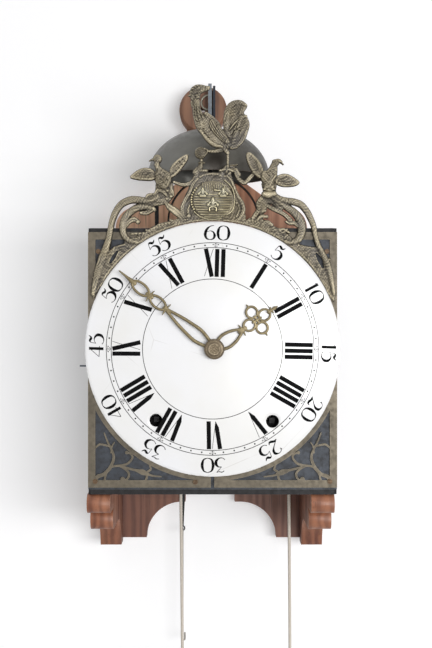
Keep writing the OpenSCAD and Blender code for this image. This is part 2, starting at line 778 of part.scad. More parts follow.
right_bird = closed_curve([[69.8, 318.3], [65, 322], [59.5, 321.6], [57.5, 313], [52, 309],
    [45, 318.5], [37, 328.6], [34.9, 322], [39.5, 313], [46.5, 306], [47.5, 297], [50, 287],
    [57, 283], [60.5, 297], [66, 298], [76, 296.4], [85.4, 301], [77, 308], [66, 308.6],
    [62, 311], [63, 316.6]]);
band_out = 5;
band_rise = 9;
band_low_z = 192;
crest_gap = 0.5;
module crest() {
    hug_r = dial_r + crest_gap;
    color(brass) difference() {
        union() {
            along_y(crest_back - crest_t, crest_back) difference() {
                union() {
                    difference() {
                        translate([clock_x, dial_z + band_rise]) circle(r = hug_r + band_out);
                        translate([cage_left - 20, 0]) square([cage_w + 40, band_low_z]);
                        for (x = [cage_left - 20, cage_right])
                            translate([x, 0]) square([20, cage_h]);
                    }
                    for (s = concat(crest_strips_mid, crest_strips_left, crest_strips_right))
                        band(s[0], s[1], s[2], s[3]);
                    translate(medallion_c) circle(r = medallion_ry + 2);
                    translate([-12, 296]) square([26, 22]);
                }
                translate([clock_x, dial_z]) circle(r = hug_r);
            }
            along_y(crest_back - crest_t - 2.5, crest_back) {
                polygon(left_bird);
                polygon(right_bird);
            }
        }
        frame_screw_places() rod_y([0, 0], cage_front - 20, cage_front - frame_t + 1, 3.4);
    }
}
medallion_c = [2.2, 282.8];
module medallion() {
    half_flat = medallion_rx - medallion_ry;
    color(bright_brass) along_y(crest_back - crest_t - 2.4, crest_back - crest_t) {
        translate(medallion_c - [half_flat, medallion_ry]) square([2 * half_flat, 2 * medallion_ry]);
        for (side = [-1, 1]) translate(medallion_c + [side * half_flat, 0]) circle(r = medallion_ry);
    }
}

// the rooster looks left and stands on one leg over the crest
rooster_body = closed_curve([[-24.2, 384.1], [-20.5, 385], [-24.7, 389.5], [-19.9, 393.3],
    [-12, 393.8], [-5, 392], [-5.2, 387.5], [-9.2, 384], [-9, 376], [-8, 369], [-0.7, 366],
    [3.2, 362.5], [6.7, 356.4], [11.5, 352.6], [13.9, 351.4], [14.8, 357], [15.2, 365],
    [16, 374], [22, 379.4], [31, 378], [35, 372], [35, 364], [37.6, 356], [35, 345],
    [26, 338], [17.6, 333.9], [9, 334], [2, 336], [-4, 341], [-9, 347.5], [-13, 354],
    [-16.5, 362], [-17.5, 372], [-18.5, 381]]);
leg_x = 16.1;
module rooster() {
    front = crest_back - rooster_t;
    color(brass) union() {
        along_y(front, crest_back - 1) polygon(rooster_body);
        along_y(crest_back - crest_t - 2, crest_back - crest_t)
            polygon([[leg_x - 2, 304], [leg_x + 2, 304], [leg_x + 2, 336], [leg_x - 2, 336]]);
        along_y(crest_back - crest_t - 2, crest_back - crest_t)
            band([[6, 335.5], [-2, 331], [-9.3, 328], [-9, 318], [-6, 306]], 4, 4, 5);
        translate([-9.3, crest_back - crest_t - 3, 328]) sphere(r = 5.4);
    }
}

// steel hanger on the head of the board
leaf_x = [[-3.3, 0.5], [1.8, 4.4]];
leaf_top = 423.5;
leaf_low = 388;
leaf_front = -head_t - 16;
ring_c = [leaf_x[0][0] + 0.3, 403.8];
ring_r = 7.8;
leaf_hole_z = 419;
module hanger_leaves() {
    color(steel) difference() {
        union() {
            for (i = [0, 1])
                block([leaf_x[i][0], leaf_front, leaf_low], [leaf_x[i][1], -head_t, leaf_top - 2.4 * i]);
            block([leaf_x[0][0], -head_t - 2, leaf_low - 6], [leaf_x[1][1], -head_t, leaf_low + 12]);
        }
        translate([-10, leaf_front + 5, leaf_hole_z]) rotate([0, 90, 0]) cylinder(h = 20, r = 2.4);
    }
}
module hanger_ring() {
    color(steel) difference() {
        translate([ring_c[0], leaf_front + 5, ring_c[1]]) rotate([90, 0, 0])
            rotate_extrude() translate([ring_r, 0]) circle(r = 1.1, $fn = 24);
        block([leaf_x[0][0], leaf_front, leaf_low], [leaf_x[1][1] + 5, -head_t, leaf_top]);
    }
}

// Bell and hammer

bell_x = -2.6;
bell_z = cage_h + bell_rise;
bell_steps = 12;
module bell() {
    inner_h = bell_h - bell_t;
    color(bronze) difference() {
        translate([bell_x, -bell_y, bell_z]) rotate_extrude($fn = 72) polygon([
            for (k = [0 : bell_steps]) let (a = 90 * k / bell_steps)
                [max(bell_r * cos(a), 0), bell_h * sin(a)],
            for (k = [bell_steps : -1 : 0]) let (a = 90 * k / bell_steps)
                [max((bell_r - bell_t) * cos(a), 0), inner_h * sin(a)]]);
        rod_z(bell_x, -bell_y, bell_z, bell_z + bell_h + 1, bell_post_r);
    }
}

bell_post_r = 2.5;
hoop_centre_z = bell_z - hoop_r + 1.5;
module bell_hoop() {
    color(iron) difference() {
        union() {
            translate([hoop_x, -bell_y + hoop_w / 2, hoop_centre_z]) rotate([90, 0, 0])
                linear_extrude(hoop_w) difference() {
                    circle(r = hoop_r, $fn = 72);
                    circle(r = hoop_r - hoop_t, $fn = 72);
                    translate([-100, -100]) square([200, 100]);
                }
            for (side = [-1, 1]) {
                leg = hoop_x + side * (hoop_r - hoop_t / 2);
                foot = hoop_x + side * (hoop_r + hoop_foot / 2 - 1);
                block([leg - hoop_t / 2, -bell_y - hoop_w / 2, cage_h],
                    [leg + hoop_t / 2, -bell_y + hoop_w / 2, hoop_centre_z]);
                block([foot - hoop_foot / 2, -bell_y - hoop_w / 2, cage_h],
                    [foot + hoop_foot / 2, -bell_y + hoop_w / 2, cage_h + hoop_t]);
            }
            rod_z(bell_x, -bell_y, bell_z + 0.9, bell_z + bell_h - bell_t - 0.25, 4);
            rod_z(bell_x, -bell_y, bell_z + 2, bell_z + bell_h + 4, bell_post_r);
        }
        hoop_bolt_places() rod_z(0, 0, cage_h - 1, cage_h + hoop_t + 1, hoop_bolt_r);
    }
}
module bell_nut() {
    color(iron) translate([bell_x, -bell_y, bell_z + bell_h]) difference() {
        cylinder(h = 4, r = 5, $fn = 6);
        translate([0, 0, -1]) cylinder(h = 6, r = bell_post_r);
    }
}
module hoop_bolts() {
    color(steel) hoop_bolt_places() {
        rod_z(0, 0, cage_top, cage_h + hoop_t + 0.5, hoop_bolt_r);
        translate([0, 0, cage_h + hoop_t]) cylinder(h = 3, r = 3.4, $fn = 6);
        translate([0, 0, cage_top - 3]) cylinder(h = 3, r = 3.4, $fn = 6);
    }
}

// hammer on an arbor under the top plate: upright stem, head inside the bell and a long tail
stem_w = 4;
stem_t = 3;
head_len = 12;
hammer_head_r = 4.5;
// the bell's inner wall where the hammer strikes it, a chord beside the bell's axis
strike_chord = sqrt(pow(bell_r - bell_t - 0.4, 2) - pow(hammer_side + hammer_head_r, 2));
hammer_head_c = [bell_x - strike_chord + 1 + head_len / 2, bell_z + 5];
tail_y = second_y - 11.6;
pin_ring_r = pin_m * pin_n / 2 - 10;
module hammer() {
    color(iron) union() {
        arbor(hammer_c);
        rod_y(hammer_c, hammer_y - 4, hammer_y + 4, 4);
        along_y(hammer_y - stem_t / 2, hammer_y + stem_t / 2) polygon([
            hammer_c + [-stem_w / 2, 0], hammer_c + [stem_w / 2, 0],
            [hammer_c[0] + stem_w / 2, 296], hammer_head_c + [1.5, -hammer_head_r],
            hammer_head_c + [1.5, 0], hammer_head_c + [-1.5, 0],
            hammer_head_c + [-1.5, -hammer_head_r], [hammer_c[0] - stem_w / 2, 299]]);
        rod_y(hammer_c, tail_y - 1, tail_y + 3, 4);
        along_y(tail_y, tail_y + 2) polygon([
            hammer_c + [0, 2.5], [hand_x + 8, hammer_c[1] - 6],
            pin_c + pin_ring_r * [-0.74, 0.74] + [1, 1], pin_c + pin_ring_r * [-0.74, 0.74] + [-3, -1],
            [hand_x + 5, hammer_c[1] - 11], hammer_c + [0, -2.5]]);
    }
}
module hammer_head() {
    color(iron) difference() {
        translate([hammer_head_c[0] - head_len / 2, hammer_y, hammer_head_c[1]])
            rotate([0, 90, 0]) cylinder(h = head_len, r = hammer_head_r);
        block([hammer_head_c[0] - 1.5, hammer_y - stem_t / 2, hammer_head_c[1] - 6],
            [hammer_head_c[0] + 1.5, hammer_y + stem_t / 2, hammer_head_c[1]]);
    }
}
spring_x = hammer_c[0] + 5.2;
module hammer_spring() {
    color(steel) {
        block([hammer_c[0] + 2.4, hammer_y + 5, hammer_c[1] + 4], [spring_x - 1.6, hammer_y + 9, cage_top]);
        block([hammer_c[0] + 2.4, hammer_y + 5, cage_top - 2], [spring_x + 8, hammer_y + 13, cage_top]);
    }
}

// Going train

square_w = 5;
drum_front = great_y + wheel_t;
drum_back = -70;
drum_arbor_r = 3;
module drum(c) {
    square_end = cage_front + 6;
    union() {
        rod_y(c, great_y - 1, drum_front, 9);
        rod_y(c, drum_front, drum_back, drum_r);
        rod_y(c, drum_back, drum_back + 2.5, drum_r + cord_d + 2);
        rod_y(c, bar_front - 1, great_y, drum_arbor_r);
        rod_y(c, drum_back, rear_bar_front - 0.4, drum_arbor_r);
        rod_y(c, rear_bar_front - 1, rear_bar_back, pivot_r);
        block([c[0] - square_w / 2, square_end, c[1] - square_w / 2],
            [c[0] + square_w / 2, bar_front - 1, c[1] + square_w / 2]);
        // ratchet wheel behind the great wheel
        translate([c[0], 0, c[1]]) along_y(drum_front, drum_front + 3)
            polygon([for (k = [0 : 23]) each [
                [(drum_r + 6.4) * cos(k * 15), (drum_r + 6.4) * sin(k * 15)],
                [(drum_r + 3.6) * cos(k * 15 + 1), (drum_r + 3.6) * sin(k * 15 + 1)]]]);
    }
}
// click that holds the ratchet, with its screw, on the back of the great wheel
module click(c) {
    translate([c[0], 0, c[1]]) along_y(drum_front, drum_front + 3) rotate(40) union() {
        translate([drum_r + 14, 0]) circle(r = 3.4);
        polygon([[drum_r + 15, 3], [drum_r + 6.9, -7], [drum_r + 8.4, -9], [drum_r + 17, 0]]);
    }
}
module great_wheel(c, m, toward) {
    wheel(c, great_y, great_n, m, toward, true, 9, 6);
    click(c);
}
module going_drum() {
    color(steel) drum(drum_c);
}
module going_great_wheel() {
    color(bright_brass) great_wheel(drum_c, great_m, bearing(drum_c, second_c));
}

// one unbroken cord wound on the drum: straight for one diameter at its start, then loops
loop_rings = 24;
function winding_path(c) = let (n = drum_turns * loop_rings,
    y_end = winding_back - drum_turns * winding_pitch)
    concat(
        [[c[0] + winding_r, winding_back, c[1] + cord_d]],
        [for (i = [0 : n]) let (a = 360 * i / loop_rings)
            [c[0] + winding_r * cos(a), winding_back - winding_pitch * i / loop_rings,
                c[1] - winding_r * sin(a)]],
        [[c[0] + winding_r, y_end, c[1] - cord_d]]);
// how close the centre lines of neighbouring loops come, less the cord's own width
function winding_gap(p) = min([for (i = [0 : 2 : len(p) - 1])
    for (j = [i + loop_rings / 2 : 1 : min(i + 2 * loop_rings, len(p) - 1)]) norm(p[i] - p[j])]) - cord_d;
echo("least gap between the turns of a winding, mm", winding_gap(winding_path(drum_c)));

// closed tube of a few sides round a path
function unit(v) = v / norm(v);
function tube_dir(p, i) = unit(p[min(i + 1, len(p) - 1)] - p[max(i - 1, 0)]);
function tube_ring(p, i, r, sides, up) = let (d = tube_dir(p, i), u = unit(cross(d, up)), v = cross(d, u))
    [for (k = [0 : sides - 1]) p[i] + r * (u * cos(360 * k / sides) + v * sin(360 * k / sides))];
module tube(p, r, sides, up) {
    n = len(p);
    polyhedron(
        points = [for (i = [0 : n - 1]) each tube_ring(p, i, r, sides, up)],
        faces = concat(
            [[for (k = [0 : sides - 1]) k]],
            [for (i = [0 : n - 2]) for (k = [0 : sides - 1]) each [
                [i * sides + k, (i + 1) * sides + k, (i + 1) * sides + (k + 1) % sides],
                [i * sides + k, (i + 1) * sides + (k + 1) % sides, i * sides + (k + 1) % sides]]],
            [[for (k = [sides - 1 : -1 : 0]) (n - 1) * sides + k]]));
}
module winding(c) {
    tube(winding_path(c), cord_r, 6, [0, 1, 0.001]);
}
module going_winding() {
    color(linen) winding(drum_c);
}

module going_second_arbor() {
    color(steel) union() {
        rod_y(second_c, bar_back + 0.4, rear_bar_front - 0.4, arbor_r);
        rod_y(second_c, motion_y - 1, bar_back + 1, arbor_r);
        rod_y(second_c, rear_bar_front - 1, rear_bar_back, pivot_r);
        pinion(second_c, great_y - 1.5, drum_front + 1.5, second_leaves, great_m,
            bearing(second_c, drum_c), false);
    }
}
module going_second_wheel() {
    color(bright_brass) wheel(second_c, second_y, second_n, second_m,
        bearing(second_c, third_c), true, arbor_r, 4);
}
module motion_wheel() {
    color(bright_brass) wheel(second_c, motion_y, motion_n, motion_m,
        bearing(second_c, dial_c), true, arbor_r, 4);
}

// third wheel, with teeth that stand forward from its rim, and its pinion
contrate_add = 0.8;
contrate_web_front = crown_y + crown_pitch_r + 1.3;
module contrate_wheel() {
    tip_y = crown_y + crown_pitch_r - contrate_add;
    step = 360 / contrate_n;
    color(bright_brass) union() {
        arbor(third_c);
        pinion(third_c, second_y - 1.5, second_y + wheel_t + 1.5, third_leaves, second_m,
            bearing(third_c, second_c), false);
        translate([third_c[0], 0, third_c[1]]) {
            along_y(contrate_web_front, contrate_web_front + 2) difference() {
                circle(r = contrate_r + 1.3);
                difference() {
                    circle(r = contrate_r - 4);
                    circle(r = 7);
                    for (k = [0 : 3]) rotate(45 + 90 * k) translate([0, -2]) square([contrate_r, 4]);
                }
            }
            for (i = [0 : contrate_n - 1])
                rotate([0, -(90 + (i + 0.5) * step), 0])
                    translate([contrate_r - 1.3, tip_y, -0.45])
                        cube([2.6, contrate_web_front - tip_y + 0.5, 0.9]);
        }
    }
}

// crown wheel on an upright arbor: pinion below, teeth that point up under the verge
crown_wheel_z = crown_tip_z - 10;
crown_foot_z = crown_pinion_z - 13.5;
module crown_wheel() {
    step = 360 / crown_n;
    color(bright_brass) translate([verge_x, crown_y, 0]) union() {
        rod_z(0, 0, crown_foot_z, crown_wheel_z + 1, pivot_r);
        translate([0, 0, crown_pinion_z - 2.6]) linear_extrude(4.8)
            gear_shape(crown_leaves, contrate_m, 90, true);
        difference() {
            union() {
                rod_z(0, 0, crown_wheel_z, crown_wheel_z + 2, crown_r);
                rod_z(0, 0, crown_wheel_z, crown_wheel_z + 6.5, crown_r);
            }
            rod_z(0, 0, crown_wheel_z + 2, crown_wheel_z + 7, crown_r - 1.6);
            for (k = [0 : 3]) rotate(45 + 90 * k)
                translate([crown_r / 2 + 1, 0, crown_wheel_z - 1]) cylinder(h = 4, r = 4.2);
        }
        for (i = [0 : crown_n - 1]) rotate(i * step)
            translate([crown_r - 1.6, 0, crown_wheel_z + 6]) rotate([90, 0, 90])
                linear_extrude(1.5) polygon([[-1.2, 0], [1.2, 0], [1.2, crown_tip_z - crown_wheel_z - 6]]);
    }
}
cock_bolt_z = [crown_pinion_z - 6.4, crown_pinion_z + 3.4];
cock_bolt_r = 1.3;
module crown_cock() {
    arm_w = 8;
    front = bar_back;
    back = crown_y + 1.8;
    color(bright_brass) difference() {
        translate([verge_x - arm_w / 2, 0, 0]) {
            block([0, front, crown_foot_z], [arm_w, front + 3, crown_pinion_z + 9]);
            block([0, front, crown_foot_z], [arm_w, back, crown_foot_z + 4]);
            block([0, front, crown_pinion_z + 5], [arm_w, back, crown_pinion_z + 9]);
        }
        rod_z(verge_x, crown_y, crown_foot_z - 1, crown_wheel_z, pivot_r + run_gap);
    }
    // its two screws, from the front of the bar
    color(steel) for (z = cock_bolt_z) {
        rod_y([verge_x, z], bar_front, front + 1, cock_bolt_r);
        rod_y([verge_x, z], bar_front - 1.2, bar_front, cock_bolt_r + 1.2);
    }
}

// verge with its two pallets over the crown wheel, and the crutch behind the cage
verge_r = 1.5;
pallet_len = 5.2;
verge_back = pendulum_y - 2.4;
module verge() {
    c = [verge_x, verge_z];
    color(steel) union() {
        rod_y(c, bar_back + 0.4, verge_back, verge_r);
        rod_y(c, bar_front, bar_back + 1, pivot_r);
        for (side = [-1, 1]) {
            y = crown_y + side * (crown_r - 0.8);
            translate([verge_x, 0, verge_z]) along_y(y - 1.8, y + 1.8)
                rotate(side * 45 - 90) translate([0, -0.5]) square([pallet_len, 1]);
        }
    }
}
crutch_z = verge_z - 46;
module crutch() {
    c = [verge_x, verge_z];
    front = verge_back - 1.4;
    color(steel) union() {
        difference() {
            rod_y(c, front, verge_back, 3.4);
            rod_y(c, front - 1, verge_back + 1, verge_r);
        }
        block([verge_x - 1.2, front, crutch_z - 2], [verge_x + 1.2, verge_back, verge_z - 3]);
        block([verge_x - 6, front, crutch_z - 3], [verge_x + 6, verge_back, crutch_z]);
        for (side = [-1, 1]) translate([verge_x + side * (blade_w / 2 + free_gap + 1), 0, crutch_z - 1.5])
            rod_y([0, 0], verge_back - 0.5, pendulum_y + 1.4, 1);
    }
}

// Pendulum

blade_w = 6;
cock_front = pendulum_y + 2.4;
module pendulum_cock() {
    back = -board_t - 0.6;
    color(iron) union() {
        block([verge_x - 9, cage_back - 10, cage_h], [verge_x + 9, back, cage_h + 3]);
        block([verge_x - 6, cock_front, verge_z - 6], [verge_x + 6, back, cage_h + 3]);
        rod_y([verge_x, verge_z], pendulum_y - 1.4, back, verge_r);
        for (x = [verge_x - 5, verge_x + 5]) {
            rod_z(x, cage_back - 5, cage_top, cage_h + 1, 1.5);
            rod_z(x, cage_back - 5, cage_h + 3, cage_h + 4.5, 2.6);
        }
    }
}
module pendulum_blade() {
    front = pendulum_y - blade_t / 2;
    back = pendulum_y + blade_t / 2;
    color(iron) difference() {
        each_along_y(front, back) {
            polygon([[verge_x - blade_w / 2, verge_z], [verge_x + blade_w / 2, verge_z],
                [verge_x + blade_w / 2, crutch_z - 10], [link_x + 2.5, -24],
                [link_x + 1, blade_end_z], [link_x - 1, blade_end_z],
                [link_x - 2.5, -24], [verge_x - blade_w / 2, crutch_z - 10]]);
            translate([verge_x, verge_z]) circle(r = 4.4);
            translate([link_x, link_z]) circle(r = 2.9);
        }
        rod_y([verge_x, verge_z], front - 1, back + 1, verge_r + run_gap);
        rod_y([link_x, link_z], front - 1, back + 1, link_r + 0.6);
    }
}
// wire link: a closed eye through the blade's eye, a straight wire and a narrow open hook
link_eye_r = 3;
hook_bend = 1.2;
hook_leg = 8;
module pendulum_link() {
    top = link_z - link_eye_r;
    low = link_z - link_len;
    color(steel) union() {
        translate([link_x, pendulum_y, top]) rotate([0, 90, 0]) rotate_extrude()
            translate([link_eye_r, 0]) circle(r = link_r, $fn = 24);
        rod_z(link_x, pendulum_y, low + hook_bend, top - link_eye_r, link_r);
        translate([link_x + hook_bend, pendulum_y, low + hook_bend]) rotate([90, 0, 0])
            rotate([0, 0, 180]) rotate_extrude(angle = 180) translate([hook_bend, 0])
            circle(r = link_r, $fn = 24);
        rod_z(link_x + 2 * hook_bend, pendulum_y, low + hook_bend, low + hook_leg, link_r);
    }
}

// Dial work and hands

minute_bore = 1.6;
dial_top = dial_front - dome_at(hands_right);
hour_hand_y = dial_top - 1.6 - hand_t;
minute_hand_y = hour_hand_y - 1.6 - hand_t;
minute_front = minute_hand_y - 1.6;
hour_pipe_front = hour_hand_y - 0.6;
module minute_pinion() {
    color(bright_brass) difference() {
        union() {
            pinion(dial_c, motion_y, motion_y + wheel_t, minute_n, motion_m,
                bearing(dial_c, second_c), false);
            pinion(dial_c, reverse_y, motion_y, cannon_n, cannon_m, bearing(dial_c, reverser_c), true);
            rod_y(dial_c, minute_front, reverse_y, minute_pipe_r);
        }
        rod_y(dial_c, minute_front - 1, bar_front, minute_bore + run_gap);
    }
}
module reverser_wheel() {
    color(bright_brass) {
        wheel(reverser_c, reverse_y, reverser_n, cannon_m, bearing(reverser_c, dial_c), false,
            arbor_r + run_gap);
        difference() {
            pinion(reverser_c, hour_y - 0.4, reverse_y, reverser_leaves, hour_m,
                bearing(reverser_c, dial_c), false);
            rod_y(reverser_c, hour_y - 1, reverse_y + 1, arbor_r + run_gap);
        }
    }
}
// hour wheel on its pipe, with the stepped snail in front
snail_r = 18;
snail_drop = 0.8;
module hour_wheel() {
    color(bright_brass) difference() {
        union() {
            translate([hand_x, 0, dial_z]) {
                along_y(hour_y, hour_y + wheel_t)
                    gear_shape(hour_n, hour_m, bearing(dial_c, reverser_c), true);
                along_y(snail_y, hour_y) polygon([for (k = [0 : 11]) for (a = [0 : 10 : 30])
                    (snail_r - snail_drop * k) * [cos(30 * k + a), sin(30 * k + a)]]);
            }
            rod_y(dial_c, hour_pipe_front, hour_y, pipe_r);
        }
        rod_y(dial_c, hour_pipe_front - 1, hour_y + 4, minute_pipe_r + run_gap);
    }
}

// pierced hand drawn upright from its centre
module ring2(c, r, w) {
    translate(c) difference() {
        circle(r = r);
        circle(r = r - w);
    }
}
minute_angle = 51.4 * 6;
hour_angle = 55.8;
module minute_hand() {
    front = minute_hand_y;
    back = minute_hand_y + hand_t;
    color(bright_brass) translate([hand_x, 0, dial_z]) rotate([0, minute_angle, 0]) difference() {
        each_along_y(front, back) {
            circle(r = 8);
            band([[-2, 7], [-4, 26], [-3.6, 44], [-1, 60]], 2, 1.8, 2);
            band([[2, 7], [4, 26], [3.6, 44], [1, 60]], 2, 1.8, 2);
            translate([-4, 59.6]) square([8, 3.8]);
            ring2([0, 71], 8.4, 2);
            translate([-5, 78.6]) square([10, 4.8]);
            ring2([0, 90.4], 7.8, 2);
            polygon([[-3, 97], [3, 97], [1.2, 104], [0.4, minute_len], [-0.4, minute_len], [-1.2, 104]]);
        }
        rod_y([0, 0], front - 1, back + 1, minute_pipe_r);
    }
}
module hour_hand() {
    front = hour_hand_y;
    back = hour_hand_y + hand_t;
    color(bright_brass) translate([hand_x, 0, dial_z]) rotate([0, hour_angle, 0]) difference() {
        each_along_y(front, back) {
            circle(r = 8.4);
            band([[-2.4, 7], [-4.4, 16], [-3.4, 25], [-1, 32]], 2.2, 2, 2);
            band([[2.4, 7], [4.4, 16], [3.4, 25], [1, 32]], 2.2, 2, 2);
            translate([-5, 30.6]) square([10, 3.6]);
            ring2([0, 39.6], 6.4, 2);
            ring2([0, 58.4], 6.4, 2);
            ring2([-8.3, 49.2], 6.4, 2);
            ring2([8.3, 49.2], 6.4, 2);
            translate([-2, 44]) square([4, 10]);
            translate([-4, 47.6]) square([8, 3.2]);
            polygon([[-2.4, 64], [2.4, 64], [0.5, hour_len], [-0.5, hour_len]]);
        }
        rod_y([0, 0], front - 1, back + 1, pipe_r);
    }
}
module hand_nut() {
    front = minute_hand_y - 4.4;
    color(brass) difference() {
        union() {
            rod_y(dial_c, front + 1.4, minute_hand_y, hand_nut_r);
            translate([hand_x, front + 1.4, dial_z]) rotate([90, 0, 0])
                cylinder(h = 1.4, r1 = hand_nut_r, r2 = 6);
        }
        rod_y(dial_c, minute_front, minute_hand_y + 1, minute_pipe_r);
    }
}

// Striking train

module strike_drum() {
    color(steel) drum(strike_drum_c);
}
module strike_great_wheel() {
    color(bright_brass) great_wheel(strike_drum_c, strike_m, bearing(strike_drum_c, pin_c));
}
module strike_winding() {
    color(linen) winding(strike_drum_c);
}
// second wheel, with the pins that lift the hammer's tail
lift_pins = 8;
module pin_wheel() {
    color(bright_brass) union() {
        arbor(pin_c);
        pinion(pin_c, great_y - 1.5, drum_front + 1.5, second_leaves, strike_m,
            bearing(pin_c, strike_drum_c), false);
        wheel(pin_c, second_y, pin_n, pin_m, bearing(pin_c, warning_c), true, arbor_r - 0.3, 4);
        for (k = [0 : lift_pins - 1])
            translate([pin_c[0], 0, pin_c[1]]) rotate([0, k * 360 / lift_pins, 0]) {
                rod_y([pin_ring_r, 0], second_y - 8, second_y + 1, 1.4);
                rod_y([pin_ring_r, 0], second_y, second_y + wheel_t, 5.5);
            }
    }
}
module warning_wheel() {
    color(bright_brass) union() {
        arbor(warning_c);
        pinion(warning_c, second_y - 1.5, second_y + wheel_t + 1.5, warning_leaves, pin_m,
            bearing(warning_c, pin_c), false);
        wheel(warning_c, warning_y, warning_n, warning_m, bearing(warning_c, fly_c), true,
            arbor_r - 0.3, 4);
        rod_y(warning_c + [0, warning_m * warning_n / 2 - 3.4], warning_y - 5, warning_y, 1);
    }
}
fly_r = 14;
module fly() {
    color(steel) union() {
        arbor(fly_c);
        pinion(fly_c, warning_y - 2, warning_y + wheel_t + 2, fly_leaves, warning_m,
            bearing(fly_c, warning_c), false);
        block([fly_c[0] - fly_r, warning_y + 8, fly_c[1] - 0.5],
            [fly_c[0] + fly_r, warning_y + 28, fly_c[1] + 0.5]);
        rod_y(fly_c, warning_y + 7, warning_y + 29, 3);
    }
}
rack_low = 52;
rack_high = 200;
rack_tail_z = dial_z + snail_r + 0.6;
module strike_rack() {
    color(steel) along_y(rack_front, rack_back) union() {
        translate([rack_x - rack_w / 2, rack_low]) square([rack_w, rack_high - rack_low]);
        for (k = [0 : 11])
            translate([rack_x + rack_w / 2 - 0.5, 100 + 5 * k]) polygon([[0, 0], [3.2, 4.4], [0, 4.4]]);
    }
    color(steel) {
        along_y(snail_y, hour_y - free_gap)
            translate([hand_x, rack_tail_z]) square([rack_x - hand_x + rack_w / 2, 4]);
        along_y(snail_y, rack_front)
            translate([rack_x - rack_w / 2, rack_tail_z]) square([rack_w, 4]);
    }
}
// lever that sets the strike off; its end comes out through the notch in the left door
lever_end = cage_left - 8.5;
module trip_lever() {
    front = plate_back + 0.5;
    color(steel) difference() {
        along_y(front, front + 2.4) {
            polygon([[lever_end, lever_c[1] - 0.8], [lever_c[0], lever_c[1] - 2],
                [lever_c[0] + 11, lever_c[1] - 2], [lever_c[0] + 11, lever_c[1] + 2],
                [lever_c[0], lever_c[1] + 2], [lever_end, lever_c[1] + 0.8]]);
            translate(lever_c) circle(r = 4.6);
        }
        rod_y(lever_c, front - 1, front + 4, 2 + run_gap);
    }
}

// Weight cords, straight down from the drums to the hooks

module cord(route) {
    tube(curve(route, 6), cord_r, 8, [0, 1, 0]);
}
module going_cord() {
    color(linen) cord(going_cord_route);
}
module strike_cord() {
    color(linen) cord(strike_cord_route);
}
hook_r = 8;
module weight_hook(x) {
    top = cord_end_z;
    translate([x, cord_y, top]) {
        rotate([90, 0, 0]) translate([0, -5, -1.5]) linear_extrude(3) difference() {
            circle(r = 5);
            circle(r = 2.2);
        }
        rod_z(0, 0, -16, -9, 1.6);
        translate([0, 0, -16 - hook_r]) rotate([90, 0, 0]) rotate([0, 0, -180])
            rotate_extrude(angle = 270) translate([hook_r, 0]) circle(r = 1.6, $fn = 24);
    }
}
module weight_hooks() {
    color(iron) {
        weight_hook(going_cord_route[5][0]);
        weight_hook(strike_cord_route[5][0]);
    }
}

backboard();
side_bracket_left();
side_bracket_right();
bracket_screws();
bottom_plate();
top_plate();
corner_posts();
front_plate();
front_bars();
back_bars();
back_sheet();
door_left();
door_right();
dial();
frame_left();
frame_right();
frame_screws();
crest();
medallion();
rooster();
hanger_leaves();
hanger_ring();
bell();
bell_hoop();
bell_nut();
hoop_bolts();
hammer();
hammer_head();
hammer_spring();
going_drum();
going_great_wheel();
going_winding();
going_second_arbor();
going_second_wheel();
motion_wheel();
contrate_wheel();
crown_wheel();
crown_cock();
verge();
crutch();
pendulum_cock();
pendulum_blade();
pendulum_link();
minute_pinion();
minute_hand();
hand_nut();
reverser_wheel();
hour_wheel();
hour_hand();
strike_drum();
strike_great_wheel();
strike_winding();
pin_wheel();
warning_wheel();
fly();
strike_rack();
trip_lever();
going_cord();
strike_cord();
weight_hooks();
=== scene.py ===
import bpy
import math
import numpy as np
from functools import partial
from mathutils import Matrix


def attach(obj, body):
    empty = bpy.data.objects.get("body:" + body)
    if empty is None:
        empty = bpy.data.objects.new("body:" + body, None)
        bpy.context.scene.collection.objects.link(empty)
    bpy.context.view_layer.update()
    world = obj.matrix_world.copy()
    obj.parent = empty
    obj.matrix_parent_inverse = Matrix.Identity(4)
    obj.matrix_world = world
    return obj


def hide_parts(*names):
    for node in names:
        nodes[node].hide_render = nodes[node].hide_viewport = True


mm = 0.001
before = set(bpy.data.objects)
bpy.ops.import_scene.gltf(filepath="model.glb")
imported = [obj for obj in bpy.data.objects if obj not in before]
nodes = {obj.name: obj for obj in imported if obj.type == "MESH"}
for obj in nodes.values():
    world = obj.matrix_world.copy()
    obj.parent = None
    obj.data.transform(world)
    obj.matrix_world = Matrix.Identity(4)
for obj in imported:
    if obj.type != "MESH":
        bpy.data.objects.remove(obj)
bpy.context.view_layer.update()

# Places of the source that several pieces share, in mm
dialCentre = np.array([1.8, 140.5])
handCentre = np.array([3.5, 140.5])
dialValues = {"radius": 122.8, "thickness": 2.0, "dome": 3.5, "back": -170.0, "holeRadius": 6.2,
              "pipeRadius": 6.0, "windingHoles": [(-52.6, 72.0), (59.4, 71.0)], "rimRound": 1.4,
              "lip": 0.7, "step": 1.15}


# Camera: level, 1.27 m before the wall

cameraValues = {"place": (5.1, -1272.0, 164.5), "lens": 63.56, "sensor": 36.0}


def newObject(name, data):
    made = bpy.data.objects.new(name, data)
    bpy.context.collection.objects.link(made)
    return made


camera = newObject("camera", bpy.data.cameras.new("camera"))
camera.data.lens = cameraValues["lens"]
camera.data.sensor_width = cameraValues["sensor"]
camera.location = [v * mm for v in cameraValues["place"]]
camera.rotation_euler = (math.pi / 2, 0, 0)
bpy.context.scene.camera = camera


# Mesh helpers

def addPiece(name, verts, faces, body, replaced=(), sharp=38):
    mesh = bpy.data.meshes.new(name)
    mesh.from_pydata((np.asarray(verts) * mm).tolist(), [], faces)
    mesh.shade_smooth()
    mesh.set_sharp_from_angle(angle=math.radians(sharp))
    piece = newObject(name, mesh)
    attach(piece, body)
    if replaced:
        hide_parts(*replaced)
    return piece


def unit(v):
    return v / np.linalg.norm(v, axis=-1, keepdims=True)


